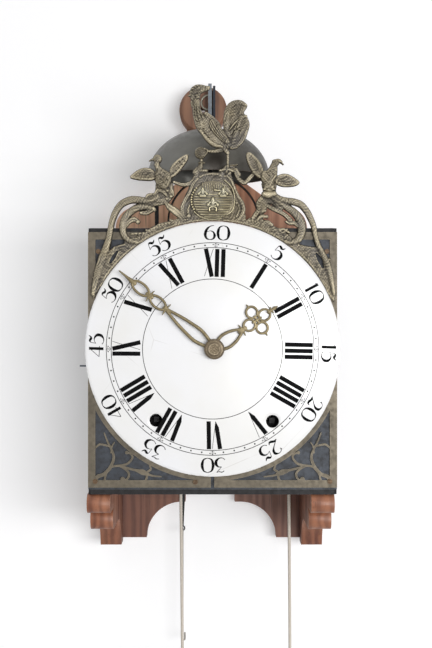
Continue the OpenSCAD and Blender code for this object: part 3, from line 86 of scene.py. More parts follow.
def turnAngles(count):
    return np.linspace(0, 2 * math.pi, count, endpoint=False)


# Length of a path from its start to each of its points
def lengthAlong(p):
    return np.concatenate([[0], np.cumsum(np.linalg.norm(np.diff(p, axis=0), axis=1))])


# A smooth curve through a few points. Between b and c it is
# (2b + (c - a)t + (2a - 5b + 4c - d)t^2 + (3b - a - 3c + d)t^3) / 2.
def smoothCurve(points, steps=6, closed=False):
    p = np.asarray(points, float)
    if closed:
        a, b, c, d = (np.roll(p, s, axis=0) for s in (1, 0, -1, -2))
    else:
        q = np.vstack([p[:1], p, p[-1:]])
        a, b, c, d = q[:-3], q[1:-2], q[2:-1], q[3:]
    t = (np.arange(steps) / steps)[None, :, None]
    a, b, c, d = (q[:, None, :] for q in (a, b, c, d))
    curve = 0.5 * (2 * b + (c - a) * t + (2 * a - 5 * b + 4 * c - d) * t ** 2
                   + (3 * b - a - 3 * c + d) * t ** 3)
    curve = curve.reshape(-1, p.shape[1])
    return curve if closed else np.vstack([curve, p[-1:]])


# Rings of equal size joined to a skin: an open row gets a cap at each end, a closed one meets itself
def ringFaces(rings, sides, closed=False):
    index = np.arange(rings * sides).reshape(rings, sides)
    a, b = (index, np.roll(index, -1, 0)) if closed else (index[:-1], index[1:])
    faces = np.stack([a, np.roll(a, -1, 1), np.roll(b, -1, 1), b], -1).reshape(-1, 4).tolist()
    return faces if closed else faces + [index[0][::-1].tolist(), index[-1].tolist()]


# A twisted cord along a path. At angle a and length s its radius is
# r * (1 - lobe + lobe * |cos(strands / 2 * (a - twist * s))|).
def cordSurface(path, radius, up, strands=3, lobe=0.16, twist=0.75, sides=24):
    p = np.asarray(path, float)
    along = unit(np.gradient(p, axis=0))
    across = unit(np.cross(along, up))
    other = np.cross(along, across)
    angle = turnAngles(sides)[None, :]
    turn = np.abs(np.cos(strands / 2 * (angle - twist * lengthAlong(p)[:, None])))
    r = (radius * (1 - lobe + lobe * turn))[..., None]
    ring = np.cos(angle)[..., None] * across[:, None] + np.sin(angle)[..., None] * other[:, None]
    verts = (p[:, None] + r * ring).reshape(-1, 3)
    return verts, ringFaces(len(p), sides)


# The same path with its points about one step apart
def evenPath(points, step):
    p = np.asarray(points, float)
    length = lengthAlong(p)
    at = np.linspace(0, length[-1], max(2, int(round(length[-1] / step)) + 1))
    return np.stack([np.interp(at, length, p[:, k]) for k in range(3)], 1)


# Cords: from the drums' bare cores straight down to the weights' hooks, held taut

cordValues = {"diameter": 3.2, "y": -105.6, "ringStep": 0.7,
              "going": [(-31.7, 72), (-31.4, 40), (-30.9, 0), (-30.2, -60), (-29.6, -120), (-29.2, -168)],
              "strike": [(80.3, 71), (80.1, 40), (79.4, 0), (79.8, -60), (80.2, -120), (80.5, -168)],
              "goingLength": 240.0, "strikeLength": 239.0}
for side, node in (("going", "going_cord"), ("strike", "strike_cord")):
    route = smoothCurve([(x, cordValues["y"], z) for x, z in cordValues[side]])
    verts, faces = cordSurface(evenPath(route, cordValues["ringStep"]), cordValues["diameter"] / 2,
                               (0, 1, 0))
    cord = addPiece(side + "CordStrands", verts, faces, "clock", [node], 80)
print("camera and cords made")


# Relief work: shapes in the plane of the dial (X and Z in mm), each with its distance field, give
# every point of a grid an edge distance (the least of all) and a height (the greatest of all).
# A shape's points are pairs, or one row of numbers: x, z, x, z. low is the height of its edge, and
# crown how far its middle rises over that. widths are spread evenly along the points.

# A strip along a smooth line. rib is the depth of its cross ribs as a share of the crown
def strip(points, widths, low, crown, kind="round", rib=0, pitch=2.0, steps=6):
    line = np.reshape(points, (-1, 2)).astype(float)
    if len(line) > 2:
        line = smoothCurve(line, steps)
    half = np.interp(np.linspace(0, 1, len(line)), np.linspace(0, 1, len(widths)), widths) / 2
    return {"line": line, "half": half, "low": low, "crown": crown, "kind": kind, "rib": rib,
            "pitch": pitch, "reach": half.max() + 1}


# A strip with a furrow along it
def leaf(points, widths, low, crown):
    return strip(points, widths, low, crown, "furrow")


def braid(points, widths, low, crown, rib, pitch):
    return strip(points, widths, low, crown, rib=rib, pitch=pitch)


def ball(x, z, r, low, crown, kind="round"):
    return strip([x, z, x + 0.01, z], [2 * r, 2 * r], low, crown, kind)


def patch(points, low, crown, roundness=3.0, smooth=True):
    line = np.reshape(points, (-1, 2)).astype(float)
    return {"line": smoothCurve(line, 4, True) if smooth else line, "low": low, "crown": crown,
            "kind": "patch", "round": roundness, "reach": 1.5}


# Nearest distance to a strip's line: gap to the segment a-b at t = (p - a).(b - a) / |b - a|^2,
# less the half width there. u is 0 on the line and 1 at the strip's edge.
def stripField(p, shape):
    a, b = shape["line"][:-1], shape["line"][1:]
    ab = b - a
    size = np.maximum((ab ** 2).sum(1), 1e-9)
    t = np.clip(((p[:, None] - a) * ab).sum(2) / size, 0, 1)
    gap = np.linalg.norm(p[:, None] - a - t[..., None] * ab, axis=2)
    half = shape["half"][:-1] + t * (shape["half"][1:] - shape["half"][:-1])
    pick = np.argmin(gap - half, axis=1)[:, None]
    gap, half, t = (np.take_along_axis(v, pick, 1)[:, 0] for v in (gap, half, t))
    start = np.concatenate([[0], np.cumsum(np.sqrt(size))])[:-1][pick[:, 0]]
    length = start + t * np.sqrt(size)[pick[:, 0]]
    u = np.clip(gap / np.maximum(half, 1e-3), 0, 1)
    profile = np.sqrt(1 - u ** 2)
    if shape["kind"] == "furrow":
        profile = profile * (1 - 0.32 * np.exp(-(u / 0.3) ** 2))
    if shape["kind"] == "flat":
        profile = np.clip((1 - u) * half / 0.5, 0, 1)
    if shape["rib"]:
        wave = 0.5 + 0.5 * np.cos(2 * math.pi * (length + 0.6 * gap) / shape["pitch"])
        profile = profile * (1 - shape["rib"] * wave)
    return gap - half, shape["low"] + shape["crown"] * profile


# A closed outline puffed up like a cushion: crown * sqrt(1 - (1 - depth / round)^2)
def patchField(p, shape):
    a = shape["line"]
    b = np.roll(a, -1, 0)
    ab = b - a
    t = np.clip(((p[:, None] - a) * ab).sum(2) / np.maximum((ab ** 2).sum(1), 1e-9), 0, 1)
    gap = np.linalg.norm(p[:, None] - a - t[..., None] * ab, axis=2).min(1)
    over = (a[:, 1] > p[:, None, 1]) != (b[:, 1] > p[:, None, 1])
    rise = np.where(np.abs(ab[:, 1]) < 1e-9, 1e-9, ab[:, 1])
    crossing = a[:, 0] + (p[:, None, 1] - a[:, 1]) * ab[:, 0] / rise
    inside = (over & (p[:, None, 0] < crossing)).sum(1) % 2 == 1
    edge = np.where(inside, -gap, gap)
    depth = np.clip(-edge / shape["round"], 0, 1)
    return edge, shape["low"] + shape["crown"] * np.sqrt(1 - (1 - depth) ** 2)


# Grain of a sand casting: sin(2.3 x + w) sin(2.1 z - 1.3 w) + 0.5 sin(1.3 x - 1.9 z + 2 w), with
# w a slow wave that bends the rows
def castGrain(p):
    x, z = p[:, 0], p[:, 1]
    w = 1.7 * np.sin(0.31 * x + 0.23 * z) + 1.3 * np.sin(0.27 * z - 0.19 * x)
    return np.sin(2.3 * x + w) * np.sin(2.1 * z - 1.3 * w) + 0.5 * np.sin(1.3 * x - 1.9 * z + 2 * w)


# Painted highlights and shade on old brass, partly its own patina, -1 dark to 1 pale: the sum of value *
# e^-(gap / radius)^2 over a few spots
def patinaAndLightField(p, patinaAndLightSpots):
    tone = np.zeros(len(p))
    for x, z, radius, value in patinaAndLightSpots:
        tone += value * np.exp(-((p - (x, z)) ** 2).sum(1) / radius ** 2)
    return np.clip(tone, -1, 1)


# Numbers of the points that lie in a shape's box
def nearTo(p, shape, reach):
    low, high = shape["line"].min(0) - reach, shape["line"].max(0) + reach
    return np.flatnonzero(((p > low) & (p < high)).all(1))


# rim is a function of the points that limits the edge, such as the dial's circle
def reliefField(p, shapes, grooves, rim):
    edge = np.full(len(p), 50.0)
    height = np.full(len(p), -50.0)
    for shape in shapes:
        near = nearTo(p, shape, shape["reach"])
        if not len(near):
            continue
        field = patchField if shape["kind"] == "patch" else stripField
        e, h = field(p[near], shape)
        edge[near] = np.minimum(edge[near], e)
        height[near] = np.maximum(height[near], np.where(e < 0.1, h, -50))
    for groove in grooves:
        near = nearTo(p, groove, groove["reach"])
        if len(near):
            e, h = stripField(p[near], groove)
            height[near] -= np.where(e < 0, h, 0)
    if rim is not None:
        edge = np.maximum(edge, rim(p))
    return edge, height


# A sheet cut from a square grid: a cell is kept where its corners' edge distances sum to less than
# 0, and two kept cells that meet in one corner alone are joined. used are the kept cells' points,
# rim those of them on the outline. The faces are a front, a back and a wall round each outline.
def cutGrid(start, stop, step, edgeOf):
    gx, gz = np.meshgrid(np.arange(start[0], stop[0], step), np.arange(start[1], stop[1], step))
    flat = np.stack([gx.ravel(), gz.ravel()], 1)
    edge = edgeOf(flat)
    grid = edge.reshape(gx.shape)
    kept = (grid[:-1, :-1] + grid[1:, :-1] + grid[:-1, 1:] + grid[1:, 1:]) < 0
    for _ in range(3):
        for one, two, three, four in ((kept[:-1, :-1], kept[1:, 1:], kept[1:, :-1], kept[:-1, 1:]),
                                      (kept[1:, :-1], kept[:-1, 1:], kept[:-1, :-1], kept[1:, 1:])):
            three |= one & two & ~three & ~four
    slopeZ, slopeX = np.gradient(grid, step)
    cells = np.zeros(gx.shape, int)
    for dz in (0, 1):
        for dx in (0, 1):
            cells[dz:dz + kept.shape[0], dx:dx + kept.shape[1]] += kept
    used = (cells > 0).ravel()
    index, count = (np.cumsum(used) - 1).reshape(gx.shape), int(used.sum())
    rows, cols = np.nonzero(kept)
    a, b = index[rows, cols], index[rows, cols + 1]
    c, d = index[rows + 1, cols + 1], index[rows + 1, cols]
    faces = [np.stack([a, b, c, d], 1), np.stack([d, c, b, a], 1) + count]
    padded = np.pad(kept, 1)
    for dz, dx, u, v in ((-1, 0, a, b), (1, 0, c, d), (0, -1, d, a), (0, 1, b, c)):
        bare = ~padded[rows + 1 + dz, cols + 1 + dx]
        faces.append(np.stack([v, u, u + count, v + count], 1)[bare])
    return {"shape": gx.shape, "flat": flat, "edge": edge, "used": used,
            "rim": used & (cells < 4).ravel(), "slope": np.stack([slopeX.ravel(), slopeZ.ravel()], 1),
            "faces": np.concatenate(faces).tolist()}


# Shares of the grid's step that an outline point may move, and the least slope it is divided by
reliefValues = {"pull": 0.8, "leastSlope": 0.3, "softPasses": 6, "sharp": 55}


# A closed casting from relief shapes. The front is at y = plane - height; the back is flat at
# y = back, or with twoSided mirrors the front about it. Outline points are pulled onto the edge
# by edge * gradient / |gradient|^2. raised is how far a point stands over its surroundings.
def reliefMesh(name, shapes, grooves, step, plane, back, body, replaced, rim=None, twoSided=False,
               turn=None, grain=0.0, patinaAndLightSpots=()):
    low = np.min([s["line"].min(0) - s["reach"] for s in shapes], 0)
    high = np.max([s["line"].max(0) + s["reach"] for s in shapes], 0)
    cut = cutGrid(low - step, high + 2 * step, step, lambda p: reliefField(p, shapes, grooves, rim)[0])
    slope, used, most = cut["slope"], cut["used"], reliefValues["pull"] * step
    size = np.maximum(np.linalg.norm(slope, axis=1), reliefValues["leastSlope"])
    pull = np.clip(cut["edge"], -most, most)[:, None] * slope / size[:, None] ** 2
    flat = (cut["flat"] - np.where(cut["rim"][:, None], np.clip(pull, -most, most), 0))[used]
    _, height = reliefField(flat, shapes, grooves, None)
    height = np.maximum(height + grain * castGrain(flat), 0)
    full = np.zeros(len(used))
    full[used] = height
    soft = full.reshape(cut["shape"])
    for _ in range(reliefValues["softPasses"]):
        soft = (soft + np.roll(soft, 1, 0) + np.roll(soft, -1, 0) + np.roll(soft, 1, 1)
                + np.roll(soft, -1, 1)) / 5
    raised = (full - soft.ravel())[used]
    front = np.stack([flat[:, 0], plane - height, flat[:, 1]], 1)
    behind = front.copy()
    behind[:, 1] = 2 * back - front[:, 1] if twoSided else back
    verts = np.concatenate([front, behind])
    # Spots of painted highlight and shade, partly patina, kept as a point attribute for the material
    tone = patinaAndLightField(verts[:, [0, 2]], patinaAndLightSpots)
    if turn is not None:
        centre, angle = turn
        x, z = verts[:, 0].copy(), verts[:, 2].copy()
        verts[:, 0] = centre[0] + x * math.cos(angle) + z * math.sin(angle)
        verts[:, 2] = centre[1] - x * math.sin(angle) + z * math.cos(angle)
    piece = addPiece(name, verts, cut["faces"], body, replaced, reliefValues["sharp"])
    for key, values in (("raised", np.concatenate([raised, raised])), ("tone", tone)):
        layer = piece.data.attributes.new(key, "FLOAT", "POINT")
        layer.data.foreach_set("value", values.astype(np.float32))


# Dial: a shallow dome, R^2 = x^2 + z^2 about its axis, y = back - t - sqrt(C^2 - R^2) + C - dome

def domeHeight(p):
    r2 = ((np.asarray(p) - dialCentre) ** 2).sum(-1)
    rim, dome = dialValues["radius"], dialValues["dome"]
    curve = (rim ** 2 + dome ** 2) / (2 * dome)
    return np.sqrt(curve ** 2 - r2) - curve + dome


# The dial's edge distance: outside its circle or inside a hole is positive
def dialEdge(p):
    edge = np.linalg.norm(p - dialCentre, axis=1) - dialValues["radius"]
    holes = [(c, dialValues["holeRadius"]) for c in dialValues["windingHoles"]]
    for centre, r in holes + [(handCentre, dialValues["pipeRadius"])]:
        edge = np.maximum(edge, r - np.linalg.norm(p - np.array(centre), axis=1))
    return edge


# The enamel rolls over at the rim and the holes: lip * (1 - sqrt(1 - (1 - depth)^2))
def makeDial():
    step, rim = dialValues["step"], dialValues["radius"]
    cut = cutGrid(dialCentre - rim - 2 * step, dialCentre + rim + 3 * step, step, dialEdge)
    flat = cut["flat"]
    for _ in range(3):
        flat = flat - np.where(cut["rim"][:, None], dialEdge(flat)[:, None] * cut["slope"], 0)
    p = flat[cut["used"]]
    depth = np.clip(-dialEdge(p) / dialValues["rimRound"], 0, 1)
    fall = dialValues["lip"] * (1 - np.sqrt(1 - (1 - depth) ** 2))
    lift = domeHeight(p)
    front = np.stack([p[:, 0], dialValues["back"] - dialValues["thickness"] - lift + fall, p[:, 1]], 1)
    behind = np.stack([p[:, 0], dialValues["back"] - lift, p[:, 1]], 1)
    addPiece("enamelDisc", np.concatenate([front, behind]), cut["faces"], "clock", ["dial"], 50)


makeDial()


# Printing on the dial: thin flat strokes that follow the dome

printValues = {"lift": 0.09, "sunk": 0.25}


# Points of the plane brought to a height over the enamel
def onDome(p, lift):
    y = dialValues["back"] - dialValues["thickness"] - domeHeight(p) - lift
    return np.stack([p[:, 0], y, p[:, 1]], 1)


# Rings of four corners: the left and right line, once over and once under the enamel's surface
def inkRings(left, right):
    lift, sunk = printValues["lift"], -printValues["sunk"]
    corners = [onDome(left, lift), onDome(right, lift), onDome(right, sunk), onDome(left, sunk)]
    return np.stack(corners, 1).reshape(-1, 3)


# A stroke of changing width: its left and right lines are half the width across the path
def strokeSolid(points, widths):
    p = np.asarray(points, float)
    half = np.interp(np.linspace(0, 1, len(p)), np.linspace(0, 1, len(widths)), widths) / 2
    along = unit(np.gradient(p, axis=0))
    side = np.stack([-along[:, 1], along[:, 0]], 1) * half[:, None]
    return inkRings(p + side, p - side), ringFaces(len(p), 4)


def circlePoints(centre, r, sides):
    angle = turnAngles(sides)
    return np.asarray(centre) + r * np.stack([np.cos(angle), np.sin(angle)], 1)


def dotSolid(centre, r, sides=14):
    ring = circlePoints(centre, r, sides)
    return np.concatenate([onDome(ring, -printValues["sunk"]), onDome(ring, printValues["lift"])]), \
        ringFaces(2, sides)


def circleSolid(centre, r, width, steps=240):
    inner, outer = (circlePoints(centre, r + side * width / 2, steps) for side in (-1, 1))
    return inkRings(inner, outer), ringFaces(steps, 4, True)


# Each sign is drawn upright about its own foot: X to the right, Z up, in mm. It is a list of
# strokes: points, widths, and whether the points are joined by a smooth curve.
def bar(x0, z0, x1, z1, w0, w1=None):
    return ([(x0 + (x1 - x0) * k / 4, z0 + (z1 - z0) * k / 4) for k in range(5)],
            [w0, w0 if w1 is None else w1])


def bow(points, widths, steps=5):
    return (smoothCurve(points, steps), widths)


romanValues = {"height": 26.9, "thick": 4.1, "thin": 0.42, "pitch": 5.9, "slant": 3.1, "crossing": 3.6}


def romanSigns(text):
    v = romanValues
    h, thick, thin = v["height"], v["thick"], v["thin"]
    wide = {"I": v["pitch"], "V": 2 * v["slant"] + 3.0, "X": 2 * v["crossing"] + 2.6}
    total = sum(wide[c] for c in text)
    x, strokes = -total / 2, []
    for c in text:
        m = x + wide[c] / 2
        if c == "I":
            strokes.append(bar(m, 0, m, h, thick))
        if c == "V":
            strokes.append(([(m - v["slant"], h), (m - 0.2, 6.5), (m + 1.0, 0.2)], [thick, thick, 0.3]))
            strokes.append(bar(m + 0.9, 0.4, m + v["slant"] + 1.3, h, thin))
        if c == "X":
            strokes.append(bar(m - v["crossing"] + 0.4, h, m + v["crossing"] - 0.4, 0, thick))
            strokes.append(bar(m - v["crossing"] - 0.3, 0.3, m + v["crossing"] + 0.3, h, thin))
        x += wide[c]
    return strokes


digitStrokes = {
    "0": [bow([(0, 14.6), (-3.4, 13.1), (-4.8, 9.2), (-4.8, 5.4), (-3.4, 1.6), (0, 0.2)],
              [0.5, 1.4, 2.7, 2.7, 1.4, 0.5]),
          bow([(0, 14.6), (3.4, 13.1), (4.8, 9.2), (4.8, 5.4), (3.4, 1.6), (0, 0.2)],
              [0.5, 1.4, 2.7, 2.7, 1.4, 0.5])],
    "1": [bar(0, 0.1, 0, 14.6, 2.7), bar(-2.3, 12.4, -0.4, 14.3, 0.5)],
    "2": [bow([(-3.8, 11.2), (-2.4, 13.7), (0.2, 14.5), (3.1, 13.0), (3.4, 9.9), (1.1, 6.3), (-4.1, 0.9)],
              [1.3, 0.5, 0.7, 2.6, 2.4, 0.8, 0.5]),
          bow([(-4.1, 0.9), (-1.4, 1.8), (1.3, 0.8), (3.2, 0.9), (4.2, 2.8)], [0.5, 2.1, 2.4, 1.6, 0.4]),
          bar(-3.8, 11.2, -3.4, 11.5, 2.1)],
    "3": [bow([(-3.4, 13.0), (-1.2, 14.3), (1.2, 13.9), (3.6, 14.6)], [0.5, 0.9, 0.7, 0.4]),
          bar(3.5, 14.5, -0.9, 9.1, 0.5),
          bow([(-0.9, 9.0), (1.9, 9.0), (4.0, 6.4), (3.8, 3.1), (1.2, 0.4), (-2.0, 0.3), (-4.0, 1.9)],
              [0.5, 1.1, 2.8, 2.7, 1.0, 0.5, 0.8])],
    "4": [bar(2.0, 0.1, 2.0, 14.6, 2.7), bar(1.8, 14.0, -5.2, 4.3, 0.5), bar(-5.2, 4.2, 4.4, 4.2, 0.55)],
    "5": [bow([(-2.9, 13.2), (-1.2, 14.0), (0.6, 12.9), (2.1, 13.1), (3.6, 15.0)],
              [0.5, 2.0, 2.4, 1.5, 0.4]),
          bar(-2.8, 13.1, -3.5, 7.9, 0.5),
          bow([(-3.5, 7.9), (-1.3, 9.4), (1.7, 9.3), (4.0, 6.6), (3.7, 3.0), (1.1, 0.5), (-2.0, 0.3),
               (-4.1, 1.8)], [0.4, 0.5, 1.4, 2.8, 2.7, 1.1, 0.5, 0.8])],
    "6": [bow([(3.5, 14.4), (0.0, 13.6), (-3.1, 10.2), (-4.3, 5.6), (-3.1, 1.6), (0.0, 0.2)],
              [0.5, 0.9, 2.4, 2.8, 1.8, 0.5]),
          bow([(0.0, 0.2), (3.1, 1.4), (4.2, 4.5), (2.9, 7.9), (0.1, 9.0), (-2.6, 7.9)],
              [0.5, 1.5, 2.6, 1.4, 0.5, 0.4])]}


digitValues = {"stretch": (1.06, 0.97), "foot": 0.2,
               "wide": {"0": 13.8, "1": 6.8, "2": 11.0, "3": 11.0, "4": 11.0, "5": 10.8, "6": 12.0}}


def digitSigns(text):
    wide, stretch, foot = digitValues["wide"], digitValues["stretch"], digitValues["foot"]
    x, strokes = -sum(wide[c] for c in text) / 2, []
    for c in text:
        for points, widths in digitStrokes[c]:
            strokes.append((np.asarray(points) * stretch + (x + wide[c] / 2, foot), widths))
        x += wide[c]
    return strokes


# Turns signs so that their foot is at radius r and their top points outward at the given hour
def onDial(strokes, r, hour):
    angle = math.radians(hour * 30)
    right = np.array([math.cos(angle), -math.sin(angle)])
    outward = np.array([math.sin(angle), math.cos(angle)])
    placed = []
    for points, widths in strokes:
        p = np.asarray(points, float)
        placed.append((dialCentre + p[:, :1] * right + (p[:, 1:] + r) * outward, widths))
    return placed


ringValues = {"inner": 67.2, "trackIn": 97.4, "trackOut": 102.1, "line": 0.6, "roman": 69.3,
              "digits": 104.4, "dot": 0.78}

# The signs were set by hand: how far each stands off its place, in degrees clockwise
romanTurns = (2.3, 1.4, 1.3, -0.2, -0.5, -0.7, -0.8, -0.6, 0.3, 0.1, 1.7, 1.6)
digitTurns = (4.2, 1.8, 1.9, 1.5, 0.0, -0.4, 0.3, 0.1, 1.9, 0.8, 2.5, 2.3)
markTurns = (1.9, 0.1, 0.1, 0, 0, 0, 0, 0, 0, 0.1, 2.0, 1.8)

# The small ornament at every fifth minute: across, outward and radius of its dots
markDots = ((0, 1.4, 0.55), (0, -1.4, 0.55), (0, 0, 0.5), (2.5, 0.6, 0.6), (-2.5, 0.6, 0.6),
            (1.3, -0.9, 0.42), (-1.3, -0.9, 0.42), (1.2, 1.0, 0.36), (-1.2, 1.0, 0.36))


def makePrinting():
    solids = [circleSolid(dialCentre, ringValues[k], ringValues["line"])
              for k in ("inner", "trackIn", "trackOut")]
    middle = (ringValues["trackIn"] + ringValues["trackOut"]) / 2
    for minute in range(60):
        turn = np.interp(minute / 5, range(13), markTurns[-1:] + markTurns)
        angle = minute * math.pi / 30 + math.radians(turn)
        out = np.array([math.sin(angle), math.cos(angle)])
        side = np.array([out[1], -out[0]])
        if minute % 5:
            solids.append(dotSolid(dialCentre + middle * out, ringValues["dot"]))
        else:
            solids += [dotSolid(dialCentre + (middle + b) * out + a * side, r, 10) for a, b, r in markDots]
    for k, text in enumerate("I II III IIII V VI VII VIII IX X XI XII".split()):
        signs = onDial(romanSigns(text), ringValues["roman"], k + 1 + romanTurns[k] / 30)
        signs += onDial(digitSigns(str(5 * (k + 1))), ringValues["digits"], k + 1 + digitTurns[k] / 30)
        solids += [strokeSolid(*sign) for sign in signs]
    faces, start = [], 0
    for v, f in solids:
        faces += [[k + start for k in face] for face in f]
        start += len(v)
    addPiece("dialPrinting", np.concatenate([v for v, _ in solids]), faces, "clock", (), 30)


makePrinting()
print("dial made")


# Lathe: a closed outline of (radius, height) turned about an axis; points at radius 0 are poles

def latheSurface(outline, centre, axis, steps=96):
    angle = turnAngles(steps)
    verts, rows, count = [], [], 0
    for r, h in outline:
        n = 1 if r < 1e-6 else steps
        c, s = np.cos(angle[:n]) * r, np.sin(angle[:n]) * r
        flat = np.full(n, float(h))
        points = np.stack([c, s, flat] if axis == "z" else [c, -flat, s], 1)
        verts.append(points + np.asarray(centre))
        rows.append(np.full(steps, count) if n == 1 else count + np.arange(steps))
        count += n
    faces = []
    for a, b in zip(rows, rows[1:]):
        a2, b2 = np.roll(a, -1), np.roll(b, -1)
        if a[0] == a[1]:
            faces += np.stack([a, b2, b], 1).tolist()
        elif b[0] == b[1]:
            faces += np.stack([a, a2, b], 1).tolist()
        else:
            faces += np.stack([a, a2, b2, b], 1).tolist()
    return np.concatenate(verts), faces


# Crest: scrolls, leaves and two birds, cast in one with the plate behind the medallion

crestValues = {"step": 0.7, "front": -171.4, "back": -170.0, "hug": 0.6, "grain": 0.27, "seat": 122.6}


def crestRim(p):
    return dialValues["radius"] + crestValues["hug"] - np.linalg.norm(p - dialCentre, axis=1)


def arcPoints(radius, start, end, count=10):
    angle = np.radians(np.linspace(start, end, count))
    return dialCentre + radius * np.stack([np.sin(angle), np.cos(angle)], 1)


# Points along the crest's seat on the dial, as one row of numbers
def seat(start, end):
    return arcPoints(crestValues["seat"], start, end, 18).ravel()


# Lumpy foliage that hugs the dial: short leaves that lean back along the arc, their size, width and
# crown varied by sines of their number
def hugLeaves(start, end, pitch, low, size, lean, radius):
    leaves = []
    count = int(abs(end - start) / pitch)
    for k in range(count):
        angle = start + (end - start) * k / count
        grow = (size[0] + (size[1] - size[0]) * k / count) * (1 + 0.3 * math.sin(2.4 * k))
        a = arcPoints(radius, angle, angle, 1)[0]
        b = arcPoints(radius + grow, angle + lean, angle + lean, 1)[0]
        middle = (a + b) / 2 + (b - a)[::-1] * (0.12, -0.12)
        wide, crown = 4.4 + 1.3 * math.sin(1.7 * k), 1.5 + 0.4 * math.sin(3.1 * k)
        leaves.append(leaf([a, middle, b], [2.2, wide, 1.4], low, crown))
    return leaves


